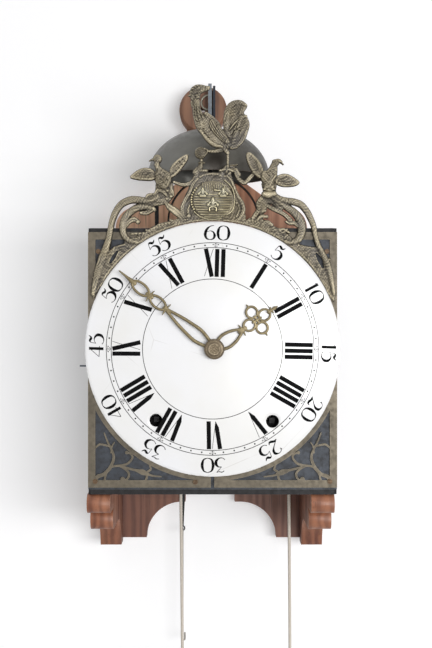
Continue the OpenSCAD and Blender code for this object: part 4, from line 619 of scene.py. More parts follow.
crestShapes = [
    # plates that the ornaments stand on
    patch([-113.8, 188.5, -112.6, 199.1, -110.7, 208.2, -107.3, 217.8, -103, 226.5, -98.1, 235,
        -92.9, 239.1, -85.2, 241.8, -76.6, 243.7, -69.9, 246.8, -62.2, 252.3, -57.4, 257.1, -48.7, 260.2,
        -39.1, 262.9, -28.5, 265.4, -14.1, 266.8, *seat(-6, -65)], 0, 1.3, 1.6, False),
    patch([21.4, 266.4, 33.9, 264.9, 43.5, 267.8, 53.1, 264.4, 60.8, 258.7, 69.5, 254.8, 77.2, 248.6,
        83.9, 241.8, 91.6, 239.8, 97.4, 239, 103.1, 238.5, 109.8, 233.7, 114.7, 226.5, 115.6, 218.3,
        116.1, 210.6, 119.5, 200.1, 119.6, 189.5, 118.5, 185.6, *seat(66, 6)], 0, 1.3, 1.6, False),
    patch([-51.6, 301.9, -39.1, 302.9, -35.3, 294.2, -36.2, 286.5, -42, 280.3, -51.6, 277.9, -60.2, 277.9,
        -62.2, 281.7, -56.4, 285.6, -53.5, 293.3], 0, 1.5, 2.0),
    patch([49.3, 301, 62.8, 301, 62.8, 291.3, 66.6, 284.6, 70.4, 277.9, 67.6, 272.1, 60.8, 277.9,
        55.1, 279.8, 53.1, 272.1, 45.5, 270.2, 45.5, 283.7, 50.3, 291.3], 0, 1.5, 2.0),
    patch([-7.4, 312.5, -0.7, 310.1, 6.1, 310.1, 12.8, 313.5, 18.6, 310.1, 22.4, 301, 27.2, 287.5,
        32, 277.9, 33, 272.1, 28.2, 263.5, -25.2, 263.5, -28.5, 272.1, -26.6, 283.7, -21.8, 294.2,
        -18.9, 302.9, -14.1, 310.6], 0, 0.8, 1.2),
    # swags at both sides of the plaque
    leaf([-35.3, 301, -25.7, 298.3, -18, 301.3, -12.7, 309.1, -11.2, 314.4], [3, 4, 4, 3.5, 3], 0, 1.7),
    leaf([23.4, 311.5, 26.7, 304.3, 32.5, 300.5, 38.3, 305.8, 42.6, 310.1], [3.5, 4, 4.5, 4, 3], 0, 1.7),
    leaf([-22.8, 264.9, -26.6, 269.2, -27.4, 276.5, -24.1, 284.3, -19.9, 291.3, -17, 299, -12.6, 304.2],
        [3, 3.8, 4, 3.4, 3, 3, 2.4], 0.4, 1.8),
    leaf([27.8, 265.9, 31.4, 273.6, 30.3, 280.8, 26.2, 287.7, 23, 295.2, 19.5, 302.5, 15.3, 307.1], [3, 4,
        3.6, 3, 2.4, 2.4, 2.2], 0.4, 1.6),
    braid([-10.7, 306, -4.5, 308.3, 2.2, 308.8, 8.9, 308.3, 14.7, 306.1], [2.6, 3, 3, 3, 2.6], 0.3, 1.5,
        0.3, 2.4),
    strip([24.8, 267.8, 27.5, 274.1, 26.5, 280.3], [1.5, 1.8, 1.2], 0.4, 1.6),
    strip([-19.9, 268.3, -21.8, 273.1, -20.4, 278.9], [2.5, 3, 1.5], 0.4, 1.4),
    ball(-21.3, 268.3, 2.2, 0.5, 1.9),
    ball(24.8, 280.8, 1.6, 0.5, 1.7),
    # the small vases between the openings
    strip([-14.1, 310.6, -10.3, 314.9, -8.7, 319.2, -9.3, 323.5], [7, 6, 3.4, 3.6], 0, 2.2),
    strip([-13.6, 312, -4, 312], [3, 3.4, 3], 0.2, 2.0),
    strip([-11.2, 319.4, -6.2, 319.4], [1.8, 2, 1.8], 0.6, 2.4),
    leaf([17.1, 310.1, 19.5, 314.9, 24.3, 312.5, 28.2, 307.7], [6, 5, 4, 2], 0, 1.9),
    leaf([9.9, 307.7, 13.3, 312.5, 15.7, 316.3], [6, 5, 3.5], 0, 1.9),
    strip([19, 317.1, 25.8, 317.5], [1.4, 2.2, 1.4], 0.6, 2.0),
    strip([19.5, 313.1, 25.3, 313.1], [1.4, 2.0, 1.4], 0.6, 1.8),
    # left scrolls
    strip([-51.6, 287, -58.3, 283.2, -64.1, 282.9, -71.8, 284, -78, 283.6, -85.7, 279.8, -91.1, 272.8,
        -94.5, 264.4, -96.2, 256.5, -97.7, 248.1, -99.8, 240.4, -103.9, 228.9, -107.7, 216.4,
        -110.8, 203.9, -113.1, 193.3], [7, 7, 7.4, 7.4, 7.4, 7, 6.6, 6.2, 6, 6.2, 7, 8.2, 8.2, 6.6, 4], 0,
        3.0),
    strip([-54.5, 274.5, -61.2, 277.1, -67, 277.1, -73, 275.2, -79.9, 269.6, -83.9, 262.5, -84.5, 254.8,
        -82.3, 248.5, -77.5, 244.5, -71.3, 243.1], [4.6, 6.6, 7.2, 7.2, 7.2, 7, 6.8, 6.4, 6, 4.6], 0, 3.0),
    leaf([-81.9, 257.7, -78.5, 262.9, -74.1, 265, -69.3, 262.9], [3, 5, 5.6, 3.6], 0, 2.6),
    ball(-70.2, 262.5, 2.1, 0.6, 2.6),
    leaf([-67, 271.2, -61.2, 271.6, -54.9, 274.6], [3.6, 5, 3], 0.2, 2.8),
    ball(-55.4, 275.4, 2.3, 0.6, 2.8),
    leaf([-62.2, 282.7, -59.8, 287.5, -55.8, 288.9], [4.6, 5, 3], 0, 2.6),
    # leaves between the left bird and its scrolls
    leaf([-45.8, 304.8, -45.4, 299, -47.8, 293.3], [9, 8, 8], 0, 2.4),
    leaf([-53.9, 288.5, -50.3, 292.9, -45.8, 291.7, -42.5, 288.1], [3, 4, 4, 2.6], 0.6, 2.6),
    leaf([-49.7, 296.5, -45.4, 295.2, -41.4, 292.3], [2.6, 3.6, 2.4], 0.6, 2.4),
    leaf([-53, 283.7, -46.8, 283.1, -40.5, 286.5, -37.8, 292.8], [4, 4.2, 4, 3], 0.2, 2.4),
    leaf([-58.3, 280.8, -56, 287.1, -51.6, 291.3], [3, 4, 2.4], 0.3, 2.0),
    strip([-40.6, 299, -37.2, 293.3, -35.8, 287.5], [2.6, 3.4, 1.8], 0.2, 1.9),
    ball(-38.3, 287.1, 1.6, 0.8, 2.8),
    ball(-42.2, 284.6, 1.3, 0.8, 2.4),
    leaf([-43.4, 281.3, -39.5, 276.9, -33, 272.1, -25.2, 264.1], [3, 6.4, 7.4, 4], 0, 2.6),
    strip([-31.4, 273.1, -28.1, 269.2, -24.2, 263.5], [2.2, 2.6, 1.6], 0.2, 2.2),
    braid([-50.6, 259.2, -42.9, 261.1, -35.3, 261.9, -27.6, 262.9], [3, 3.6, 3.6, 3], 0.2, 2.1, 0.35, 3.2),
    braid([-60.2, 253.4, -53.5, 257.1, -47.8, 258.1], [3.4, 4, 3], 0.2, 2.2, 0.3, 2.8),
    braid([-81.4, 243.3, -73.7, 245.6, -64.1, 248.7, -53.5, 252.3], [4, 4.4, 4.2, 3.4], 0.2, 1.9, 0.4, 3.0),
    braid([-76.6, 251, -65.1, 251.9, -54.5, 253.9], [2.2, 2.4, 2], 0.2, 1.7, 0.4, 3.4),
    # left bird: body, wings, head
    patch([-51.6, 318.7, -48.2, 315.4, -42, 312, -37.7, 309.1, -37.7, 301.9, -40.1, 296.2, -45.8, 293.3,
        -51.1, 297.1, -54, 302.9, -54.5, 309.1, -52.6, 313.5, -55, 317.7], 0, 4.6, 5.0),
    patch([-40.5, 310.1, -37.7, 317.3, -32.4, 322.5, -25.7, 327, -21.5, 327.3, -22, 322.1, -25.7, 316.3,
        -30.5, 310, -36.2, 305.2, -40.5, 304.3], 0.4, 2.4, 1.8),
    patch([-77.9, 305.8, -71.3, 312, -64.1, 314.8, -57.4, 314, -53.3, 311, -52.9, 305.2, -56.4, 302.3,
        -65.1, 302.3, -72.7, 303.3], 0.4, 2.4, 1.8),
    ball(-51.2, 323.2, 4.5, 0.6, 4.0),
    strip([-51.6, 319.2, -51.1, 315.4, -48.7, 312], [5, 5.4, 7], 0.3, 3.4),
    strip([-59.3, 321.1, -56.4, 322.5, -53, 323.4], [0.9, 2, 3], 0.8, 2.0),
    # right scrolls
    strip([58.9, 289.9, 65.6, 285.1, 72.4, 283.1, 79.8, 281.9, 86.8, 279.2, 92.2, 273.1, 95.8, 266.4,
        98.9, 258.7, 100.6, 250, 103.5, 240.4, 108.3, 230.8, 112.5, 221.2, 115.6, 208.7, 118.5, 193.3],
        [6, 6.2, 6.6, 7, 6.8, 6.6, 6.2, 5.6, 5.2, 5.2, 6, 6.6, 6, 3.4], 0, 3.0),
    strip([59.4, 285.6, 64.7, 282.1, 72.4, 277.3, 79.1, 272.7, 84.5, 266.7, 87.4, 259.6, 87.2, 251.9,
        83.9, 245.6, 77.8, 242.7, 72, 243.9], [4.4, 5.6, 6.6, 7.6, 8.2, 8.4, 8, 7.2, 6, 4], 0, 3.0),
    leaf([83.9, 258.7, 80.1, 261.6, 75.8, 261.2, 71.8, 263.1], [3.4, 4.4, 3.4, 1.6], 0.2, 2.3),
    leaf([53.1, 278.9, 59.5, 275.6, 66.4, 272.3, 72, 268.9, 76.7, 264.4], [3.4, 4.6, 4.4, 4.4, 5], 0, 2.2),
    strip([73.3, 255.4, 70.1, 252.5, 66, 253.9], [2, 3.4, 2], 0.2, 1.9),
    # leaves between the right bird and its scrolls
    strip([56.5, 302.9, 56.5, 295.2, 55.6, 288.5], [9, 10, 8], 0, 2.4),
    strip([51.6, 289.2, 56, 288.5, 60.6, 289.4], [6.0, 7.4, 6.0], 0.9, 4.2),
    strip([50.8, 293.8, 56, 292.9, 61, 294], [1.8, 2.2, 1.8], 0.8, 3.0),
    strip([51.8, 296.7, 56, 296, 60.3, 296.9], [1.6, 2, 1.6], 0.8, 3.4),
    braid([48.9, 285.6, 46, 280.4, 46.4, 275, 43.2, 269.6, 40.1, 265.8], [4.6, 5.6, 5, 5, 3.4], 0.2, 2.6,
        0.3, 2.6),
    leaf([58.9, 286.5, 63.7, 280.8, 68.1, 276], [4.6, 5, 3.6], 0.2, 2.2),
    leaf([41.1, 267.3, 44.9, 272.1, 50.3, 273.3], [2.4, 4, 3], 0.2, 2.3),
    braid([33.9, 261.6, 39.7, 263.7, 46.4, 261.9], [3.6, 4, 3], 0.2, 2.1, 0.35, 2.8),
    strip([44.5, 264.4, 48.8, 267.9, 54.1, 267.7], [2.6, 4.4, 3], 0.2, 2.2),
    leaf([49.3, 260, 54.1, 262.5, 58.9, 259.8], [3, 4, 3], 0.2, 2.1),
    leaf([54.1, 255.2, 59.9, 255.2, 64.7, 251.6], [3, 4.4, 3], 0.2, 2.2),
    strip([66.2, 255.3, 70.4, 255.2, 75.3, 252.3], [2.6, 3.4, 2.4], 0.2, 2.1),
    braid([67.6, 248.6, 73.3, 246.7, 80.1, 241.9], [3.6, 4.4, 4], 0.2, 2.0, 0.35, 2.8),
    # right bird
    patch([64.3, 315.8, 64.3, 310.6, 63.7, 304.8, 61.4, 299, 61, 293.3, 51.2, 293.3, 50.7, 298.5,
        48, 303.3, 47.2, 309, 49.7, 312.1, 53.7, 312.5, 56.6, 315.8, 58.3, 318.6, 62.8, 319.8], 0, 4.4,
        4.6),
    patch([34.5, 329.2, 38.7, 329.4, 43.9, 325, 48.3, 319.2, 51.2, 311.9, 51, 305.8, 46.4, 304.4,
        40.7, 309.2, 36.8, 315.4, 33.9, 323.4], 0.4, 2.4, 1.8),
    patch([61.2, 304.8, 67, 308.5, 72.8, 309, 78.7, 306.5, 85.4, 301.2, 82.9, 297.7, 76.2, 296.2,
        68.1, 296.5, 62.2, 299.4], 0.4, 2.4, 1.8),
    strip([59.3, 312.9, 60.5, 316.7, 63.1, 319.4], [6.4, 6.2, 5.8], 0.4, 3.8),
    strip([61.2, 320.4, 65.1, 321.3, 67.9, 320.2], [4.8, 4.4, 2.4], 0.6, 3.2),
    strip([67, 320.4, 68.5, 319, 69.9, 317.7], [2.6, 1.8, 0.9], 0.6, 2.4),
    strip([49.9, 306.7, 53.5, 302.3, 56.4, 300.6, 59.3, 302.9, 62.4, 307.1], [2.2, 2.6, 2.6, 2.6, 2.2],
        1.4, 3.4),
    # foliage round the dial
    *hugLeaves(-57, -41, 1.9, 0.5, (9, 7), -2.2, 125.2),
    *hugLeaves(-41, -8, 2.1, 0.5, (5.5, 4), -1.6, 125.0),
    *hugLeaves(56, 38, 1.9, 0.5, (9, 6.5), 2.2, 125.2),
    *hugLeaves(38, 8, 2.1, 0.5, (5.5, 4), 1.6, 125.0),
    strip(arcPoints(124.6, -57, -5, 24), [1.7, 1.7], 0.6, 1.3),
    strip(arcPoints(124.6, 5, 56, 24), [1.7, 1.7], 0.6, 1.3),
    strip([114.7, 227, 110.8, 224.1, 112.2, 219.8, 116, 218.3], [2, 2.6, 2.2, 1.4], 0.6, 1.8),
    leaf([-102.5, 224.1, -105.9, 220.2, -107.3, 214.5], [2.4, 3, 2], 0.6, 1.8)]


# Feather lines: grooves from a wing's root to its tip
def featherLines(roots, tips, width, depth):
    widths = [width, width, width * 0.6]
    return [strip([a, (a + b) / 2 + (b - a)[::-1] * (0.06, -0.06), b], widths, 0, depth)
            for a, b in zip(np.reshape(roots, (-1, 2)), np.reshape(tips, (-1, 2)))]


# Short dashes for small feathers, each from a point's start to its end
def dashes(points, start, end, width, depth):
    return [strip([p + start, p + end], [width, width], 0, depth) for p in np.reshape(points, (-1, 2))]


crestGrooves = [
    *featherLines([-57.8, 312.5, -57.4, 310, -57, 307.5, -57.4, 305], [-69.9, 311, -73.7, 308.1,
        -75, 305.9, -70.8, 303.9], 0.8, 0.34),
    *featherLines([-38.1, 308.1, -36.6, 310.6, -35.6, 313.1, -36.8, 315], [-27.6, 314, -24.3, 318.8,
        -23.2, 323.1, -25.1, 325.6], 0.8, 0.3),
    *featherLines([63.7, 303.5, 64.1, 301.5, 64.1, 299.6], [75.3, 306.3, 81.4, 302.3, 77.2, 298.3], 0.8,
        0.6),
    *featherLines([47.4, 309, 45.8, 312.5, 44.1, 315.8, 42, 319.2], [37.8, 324.6, 39.3, 325.9, 41.6, 325,
        44.3, 322.1], 0.8, 0.34),
    *dashes([-33.3, 318.3, -30.5, 320.6, -27.6, 323.1, -25.1, 321.1, -28.2, 317.9, -31.4, 314.8,
        -34.3, 311.9, -36.6, 309.6, -48.7, 312.5, -45.3, 310.2, -42, 307.7, -49.3, 308.3, -46.2, 305.8,
        -42.6, 303.3, -49.1, 303.5, -46.4, 300.6, -43.9, 298.5, 53.1, 310, 56.4, 311.5, 59.9, 312.5,
        55.5, 307.1, 58.9, 308.5, 62.2, 311, 54.5, 298.5, 58, 298.7], (0, 0), (1.2, -0.6), 1.1, 0.7),
    strip([-109.7, 192.4, -106, 199.1], [3.2, 2.4], 0, 3),
    *featherLines([-7, 299.4, -4.1, 299.4, -1.2, 299.4], [-7, 292.7, -4.1, 292.7, -1.2, 292.7], 0.5, 0.3)]
crestCuts = [
    strip([-96.4, 223.5, -93.5, 228.5, -90, 234.1], [2.6, 4, 2.4], 0, 1),
    strip([101.8, 231.8, 105, 226, 107.9, 219.3], [2.6, 5, 2.6], 0, 1),
    strip([110.8, 235.6, 114.1, 232.7, 116.2, 229.5], [2.2, 3.6, 2.2], 0, 1)]


def crestEdge(p):
    edge = crestRim(p)
    for cut in crestCuts:
        near = nearTo(p, cut, 4)
        e, _ = stripField(p[near], cut)
        edge[near] = np.maximum(edge[near], -e)
    return edge


# Spots of painted highlight and shade, partly patina: x, z, radius, value
crestPatinaAndLight = ((-9.8, 315.4, 5, -0.45), (1.3, 306.7, 10, -0.22), (27.2, 278.9, 8, -0.24),
              (-45.8, 304.8, 8, -0.36), (-65.1, 307.7, 8, -0.24), (-51.1, 323.1, 4, -0.48),
              (-86.2, 275, 8, -0.2), (-81.4, 259.6, 8, 0.15), (58.9, 281.7, 6.5, -0.62),
              (56, 288.9, 3.8, 0.85), (63.2, 318.7, 5, -0.58), (42.6, 317.3, 7, -0.38),
              (46.4, 276, 6, -0.22), (108.9, 227.9, 10, -0.18), (-35.3, 272.6, 6, 0.4))
reliefMesh("crestCasting", crestShapes, crestGrooves, crestValues["step"], crestValues["front"],
           crestValues["back"], "clock", ["crest"], crestEdge, grain=crestValues["grain"],
           patinaAndLightSpots=crestPatinaAndLight)
print("crest made")


# Medallion: a barred oval with beads, a plaque and three lilies

medallionValues = {"centre": (2.2, 282.8), "half": 20.4, "rise": 18.2, "step": 0.38, "front": -174.0,
                   "back": -172.8, "bars": (-15.6, 7.0, 2.42), "margin": 2.6, "ribs": (-7.681, 2.1142),
                   "beads": [-13.7, 294.8, -15.3, 292.9, -16.6, 290.6, -17.8, 288.3, -18.3, 286,
                             -18.6, 283.7, -18.4, 281.4, -18.1, 279, -17.3, 276.7, -16.2, 274.6],
                   "lilies": ((2.121, 280.587, 1.5, True), (-7.585, 290.773, 1.25, False),
                              (11.923, 290.773, 1.25, False))}
# Spots of painted highlight and shade, partly patina: x, z, radius, value
medallionPatinaAndLight = ((1.7, 278.9, 7, 0.25), (-7.6, 290.8, 4.5, 0.25), (11.8, 290.8, 4.5, 0.2),
                  (2.7, 269.2, 7, -0.3), (20.5, 283.7, 4, -0.4))


# A lily of size s about (x, z): two curled arms with drops, a foot, a middle leaf and a band
def lily(x, z, s, arched):
    def at(*row):
        return np.reshape(row, (-1, 2)) * s + (x, z)

    shapes = [strip(at(0, 3.2, 0, 1.2, 0, -0.9), [0.8 * s, 3.0 * s, 1.2 * s], 1.7, 2.3),
              strip(at(-1.6, -1.6, 1.6, -1.6), [s, s], 1.5, 1.8)]
    if arched:
        foot = at(-2.1, -5.0, -2.0, -3.2, 0, -2.3, 2.0, -3.2, 2.1, -5.0)
        shapes.append(strip(foot, [1.2 * s, 1.2 * s], 1.4, 1.6))
    else:
        shapes.append(strip(at(-1.7, -2.8, 1.7, -2.8), [2.0 * s, 2.0 * s], 1.5, 1.9))
    for side in (-1, 1):
        arm = at(side * 0.3, -1.2, side * 1.5, 0.3, side * 2.8, -0.8)
        shapes += [strip(arm, [s, 1.4 * s, 0.9 * s], 1.5, 1.7),
                   ball(x + side * 2.9 * s, z - 1.2 * s, 1.15 * s, 1.5, 1.8)]
    return shapes


def makeMedallion():
    v = medallionValues
    (cx, cz), hx, hz = v["centre"], v["half"], v["rise"]
    angle = turnAngles(40)
    shapes = [patch(np.stack([cx + hx * np.cos(angle), cz + hz * np.sin(angle)], 1), 0, 1.0, 2.0)]
    below, above, pitch = v["bars"]
    for z in np.arange(cz + below, cz + above, pitch):
        reach = hx * math.sqrt(max(0, 1 - ((z - cz) / hz) ** 2)) - v["margin"]
        shapes.append(strip([cx - reach, z, cx, z - 0.25, cx + reach, z], [1.5, 1.2, 1.2], 0.5, 1.2))
    shapes += [ball(x, z, 1.0, 0.9, 1.8) for x, z in np.reshape(v["beads"], (-1, 2))]
    shapes += [
        strip([13.2, 302.5, 19.1, 297.1, 22.3, 290, 22.8, 281.7, 20.8, 273.7, 15.3, 268.9],
              [1.2, 1.5, 1.5, 1.2], 0.5, 0.45),
        strip([11.3, 299.6, 16.2, 295.2, 19.1, 289, 19.5, 281.7, 18, 275.6],
              [0.7, 0.8, 0.8, 0.7], 0.6, 0.5),
        strip([-15.5, 272.1, -11.2, 268.3, -5.5, 265.8, 2.2, 264.8, 9.9, 265.8], [1.2, 1.2], 0.6, 0.6),
        patch([-7.4, 300, -2.6, 301.3, 6.1, 301.3, 10.9, 300, 13.4, 297.1, 13.2, 291.7, -8.4, 291.7,
               -8.9, 297.1], 0.5, 0.6, 1.0),
        strip([3.9, 292.9, 8, 292.4, 13.2, 292.7, 13, 296.2], [1.8, 2.2, 2.0, 1.2], 1.2, 1.7)]
    for x in v["ribs"][0] + v["ribs"][1] * np.arange(10):
        shapes.append(strip([x, 299.422, x + 0.769, 292.503], [0.7, 0.7], 0.9, 0.7))
    for place in v["lilies"]:
        shapes += lily(*place)
    reliefMesh("medallionRelief", shapes, [], v["step"], v["front"], v["back"], "clock", ["medallion"],
               patinaAndLightSpots=medallionPatinaAndLight)


makeMedallion()
print("medallion made")


# Rooster: rounded on both sides, looking left, on one leg

roosterValues = {"step": 0.5, "plane": -174.6, "back": -174.4, "grain": 0.3}
roosterShapes = [
    patch([-17.4, 378.8, -17.6, 370.2, -16.6, 361.5, -13.5, 351.5, -8.4, 345.2, -4.5, 339.4, 2.8, 334,
        10.9, 331.9, 17.6, 332.1, 21.4, 335.6, 19.5, 342.3, 14.7, 349.6, 9.9, 352.7, 6.6, 356.3,
        3.2, 362.1, -0.3, 365.3, -7, 366.7, -10.1, 371.1, -10.7, 378.8], 0, 4.2, 5.0),
    patch([-20.1, 383, -18.9, 387.9, -15.1, 391.3, -11.2, 393, -5.5, 393.2, -0.7, 392.3, -1.2, 388.8,
        -5.5, 387.1, -9.7, 384.6, -10.9, 379.8, -10.7, 375, -16, 374, -18.5, 378.8], 0, 3.0, 2.6),
    strip([-21.6, 383.2, -18.5, 383.6, -15.1, 382.6], [0.9, 2.6, 4.4], 0, 3.4),
    strip([-19.1, 380, -17.6, 380.3, -15.1, 380.1], [0.7, 1.8, 3.0], 0, 2.6),
    strip([-17.6, 376.9, -17.4, 373], [3.6, 2.2], 0, 2.6),
    braid([-19.3, 385.9, -17, 389.4, -13.2, 391.7, -8.4, 391.9, -3.2, 390.9], [2.4, 4.6, 5.0, 4.4, 3.0], 0,
        3.0, 0.3, 3.0),
    ball(-13.9, 382.3, 3.8, 0, 4.0),
    strip([-13.9, 377.8, -13.5, 370.2, -11.2, 362.5], [6.6, 7.6, 11], 0.8, 3.8),
    strip([-4.5, 365.3, 0.3, 360.9, 6.1, 354.8], [5, 7, 7], 0.6, 3.8),
    # wing
    patch([-1.6, 359, 2.2, 360.9, 6.6, 357.1, 11.8, 350, 17.2, 342.7, 18.6, 337.9, 14.7, 335.9, 8.6, 339.8,
        1.8, 346.5, -2, 353.2], 1.8, 4.4, 3.0),
    strip([-9.7, 349.6, -3.9, 342.3, 2.8, 336.5, 10.9, 333.8], [2.6, 4.4, 4.4, 2.6], 2.2, 3.6),
    # tail
    patch([14.1, 351.9, 13.6, 362.5, 14.9, 371.1, 18, 375.9, 22, 378.2, 28.2, 378.8, 33.5, 376.5,
        35.1, 372.8, 32, 367.1, 35.3, 362.8, 37.4, 355.7, 35.5, 347.5, 33.5, 342.3, 29.1, 337.7,
        24.9, 333.6, 18.2, 332.3, 19.5, 338.4, 17.6, 345.2], 0, 2.2, 2.4),
    strip([17.6, 335.6, 16.4, 345.2, 15.5, 356.7, 16.6, 369.2, 21.4, 375.3, 28.2, 376.5, 33.5, 374], [6, 7,
        7, 6.6, 6, 5.6, 3.4], 0.6, 2.6),
    strip([18.6, 334.6, 19.5, 347.1, 20.5, 358.6, 23.9, 366.9, 28.2, 369.6, 31.6, 369.6], [5, 6, 6, 5.6,
        4, 2], 0.8, 1.6),
    strip([19.5, 334.6, 23.4, 344.2, 25.9, 354.8, 29.1, 361.9, 33.5, 363.4], [5, 6, 6.4, 5.4, 3.4], 0.8,
        2.6),
    strip([18.2, 350.4, 22.4, 356.1, 27.6, 360.9], [1.8, 2.2, 1.6], 1.8, 2.6),
    strip([20.5, 334, 26.2, 342.3, 30.5, 350, 34.3, 357.3], [4, 6, 6, 3.4], 0.8, 2.0),
    strip([20.5, 333.6, 26.2, 336.9, 31, 342.7, 34.3, 349.6], [3.4, 5.4, 5, 3.0], 0.6, 2.4),
    strip([19.5, 332.9, 24.3, 334.4, 28.2, 337.5], [3, 4, 2.4], 0.4, 2.2),
    # legs and the orb
    strip([10.9, 334.6, 13.7, 332.1, 16.1, 328.3], [7, 5.6, 4.2], 0, 3.4),
    braid([16.2, 329.8, 16.4, 322.1, 16.2, 314.4, 15.3, 311.1], [3.4, 2.6, 2.8, 5], 0, 2.4, 0.25, 1.8),
    strip([8.9, 311.5, 15.3, 312.7, 21.4, 311.1], [2.4, 3.4, 2.4], 0, 2.4),
    strip([10.9, 332.1, 3.2, 330, -3.5, 330.2], [5.6, 3.6, 2.6], 0, 2.4),
    strip([-6.4, 332.7, -3, 330.2, -5.9, 325.9], [1.6, 2.2, 1.6], 0.8, 2.6),
    ball(-9.6, 328.5, 6.0, 0, 5.2)]
roosterGrooves = [
    *featherLines([-1.6, 353.8, -0.7, 356.3, 0.7, 358.2, 2.6, 359.2, 4.5, 358.2], [8, 341.7, 11.8, 340,
        14.3, 339.4, 16.6, 339.8, 17.6, 341.9], 0.7, 0.9),
    *featherLines([-15.5, 372.1, -13.4, 373, -11.2, 373.4, -9.5, 372.1], [-14.1, 358.6, -10.7, 356.7,
        -7.4, 358.6, -4.1, 360.9], 0.8, 0.8),
    *featherLines([19.5, 345.2, 21.4, 349, 24.3, 351.5], [26.2, 356.7, 28.2, 353.4, 29.5, 349], 1.0, 0.9),
    *dashes([-14.7, 369.2, -12.6, 366.3, -14.3, 363.8, -11.8, 361.7, -9.5, 364.4, -13.2, 358.6,
        -10.3, 354.8, -6.8, 356.1, -10.7, 351.3, -7, 351.3, -5.9, 346.7, -2.6, 343.2, 1.3, 339.8,
        6.1, 336.7], (-0.8, 0), (0.8, -0.5), 0.9, 0.8),
    strip([-15.3, 382.1, -14.5, 382.1], [1.3, 1.3], 0, 0.9)]
# Spots of painted highlight and shade, partly patina: x, z, radius, value
roosterPatinaAndLight = ((-14.6, 385.5, 6, -0.5), (-13.2, 370.2, 7, -0.42), (-7.4, 354.8, 5.5, 0.24),
                (3.2, 338.4, 7, 0.22), (25.3, 373, 8, -0.34), (28.2, 359.6, 7, -0.2),
                (25.3, 341.3, 8, -0.34), (-9.6, 328.5, 6, -0.65))
reliefMesh("roosterCasting", roosterShapes, roosterGrooves, roosterValues["step"], roosterValues["plane"],
           roosterValues["back"], "clock", ["rooster"], twoSided=True, grain=roosterValues["grain"],
           patinaAndLightSpots=roosterPatinaAndLight)
print("rooster made")


# Hands, drawn upright from their own axis and turned to 1:51

handValues = {"step": 0.34, "back": 0.9, "crown": 0.55,
              "minute": {"angle": 309.5, "plane": -180.2, "hub": 8.0, "bore": 3.2},
              "hour": {"angle": 55.8, "plane": -177.4, "hub": 8.4, "bore": 4.8}}


def handStrip(points, widths, steps=6):
    return strip(points, widths, 0, handValues["crown"], steps=steps)


# An oval ring about (x, z)
def loop(x, z, half, wide, width, count=25):
    angle = np.linspace(-math.pi / 2, 1.5 * math.pi, count)
    return handStrip(np.stack([x + wide * np.cos(angle), z + half * np.sin(angle)], 1), [width, width], 2)


def hub(hand):
    return ball(0, 0, handValues[hand]["hub"], 0, 0.4, "flat")


# Arms that spring from the hub at both sides: the right one's points, and its mirror image
def arms(points, widths):
    right = np.reshape(points, (-1, 2))
    return [handStrip(right * (side, 1), widths) for side in (-1, 1)]


def spurs(z, reach):
    return handStrip([-reach, z - 0.6, -1.5, z, 1.5, z, reach, z - 0.6], [0.7, 2.2, 2.2, 0.7])


handShapes = {
    "minute": [
        hub("minute"),
        *arms([2.6, 6, 4.6, 13, 6.0, 21, 5.4, 30, 4.1, 41, 2.3, 51, 0.9, 58],
              [3.2, 3.3, 3.3, 3.2, 3.0, 2.8, 2.6]),
        handStrip([0, 55, 0, 61], [3.4, 4.8]),
        spurs(59.8, 6.4), loop(0, 69.9, 9.0, 4.9, 2.4),
        handStrip([0, 78.0, 0, 82.4], [4.6, 4.6]),
        spurs(80.0, 6.4), loop(0, 91.2, 9.7, 4.9, 2.4),
        handStrip([0, 99.4, 0, 103.5, 0, 108.5, 0, 117.6], [5.4, 4.0, 2.5, 1.2])],
    "hour": [
        hub("hour"),
        *arms([4.6, 6, 6.6, 13, 5.8, 21, 3.2, 28, 1.2, 32], [3.3, 3.1, 2.9, 2.8, 2.8]),
        handStrip([0, 30, 0, 35], [5.4, 5.0]),
        spurs(32.6, 6.0), loop(0, 40.6, 5.7, 5.4, 2.3), loop(0, 58.0, 5.7, 5.4, 2.3),
        *[handStrip(loop(0, 49.3, 5.4, 5.5, 2.3)["line"][::2] + (side * 8.9, 0), [2.3, 2.3], 2)
          for side in (-1, 1)],
        handStrip([0, 45, 0, 53.6], [2.4, 2.4]), handStrip([-4, 49.3, 4, 49.3], [2.4, 2.4]),
        *[handStrip([side * 14, 49.3, side * 17.4, 49.3], [2.2, 1.2]) for side in (-1, 1)],
        handStrip([0, 63, 0, 66, 0, 69.6, 0, 73], [3.6, 2.6, 3.6, 1.0]),
        handStrip([-3, 66.8, 0, 65.4, 3, 66.8], [1.0, 1.9, 1.0])]}


# Outside the bore that the nut's pipe passes through
def pierced(bore, p):
    return bore - np.linalg.norm(p, axis=1)


for hand, shapes in handShapes.items():
    v = handValues[hand]
    reliefMesh(hand + "HandCut", shapes, [], handValues["step"], v["plane"],
               v["plane"] + handValues["back"], hand + "_work", [hand + "_hand"],
               partial(pierced, v["bore"]), turn=(handCentre, math.radians(v["angle"])))
print("hands made")


# The turned button in the middle of the hands: rings and a crosshatched square

nutValues = {"back": -179.7, "hatchAngle": 38, "hatchPlane": 4.55, "hatchBack": 4.2, "hatchStep": 0.2,
             "hatchLines": (-3.3, -1.1, 1.1, 3.3), "hatchReach": 3.7, "hatchWidth": 0.8, "hatchCrown": 0.45,
             "outline": [(0, 4.4), (4.3, 4.4), (4.6, 5.0), (5.4, 5.0), (5.8, 4.5), (7.4, 4.0), (7.7, 4.3),
                         (8.3, 4.2), (8.6, 3.8), (9.5, 3.1), (9.8, 2.4), (9.8, 0.9), (9.4, 0.5),
                         (8.8, 0), (3.2, 0), (0, 0)]}
verts, faces = latheSurface([(r, h - nutValues["back"]) for r, h in nutValues["outline"]],
                            (handCentre[0], 0, handCentre[1]), "y", 72)
addPiece("handButton", verts, faces, "minute_work", ["hand_nut"], 50)
reach = nutValues["hatchReach"]
hatchShapes = [strip(line, [nutValues["hatchWidth"]] * 2, 0, nutValues["hatchCrown"])
               for a in nutValues["hatchLines"] for line in ([a, -reach, a, reach], [-reach, a, reach, a])]
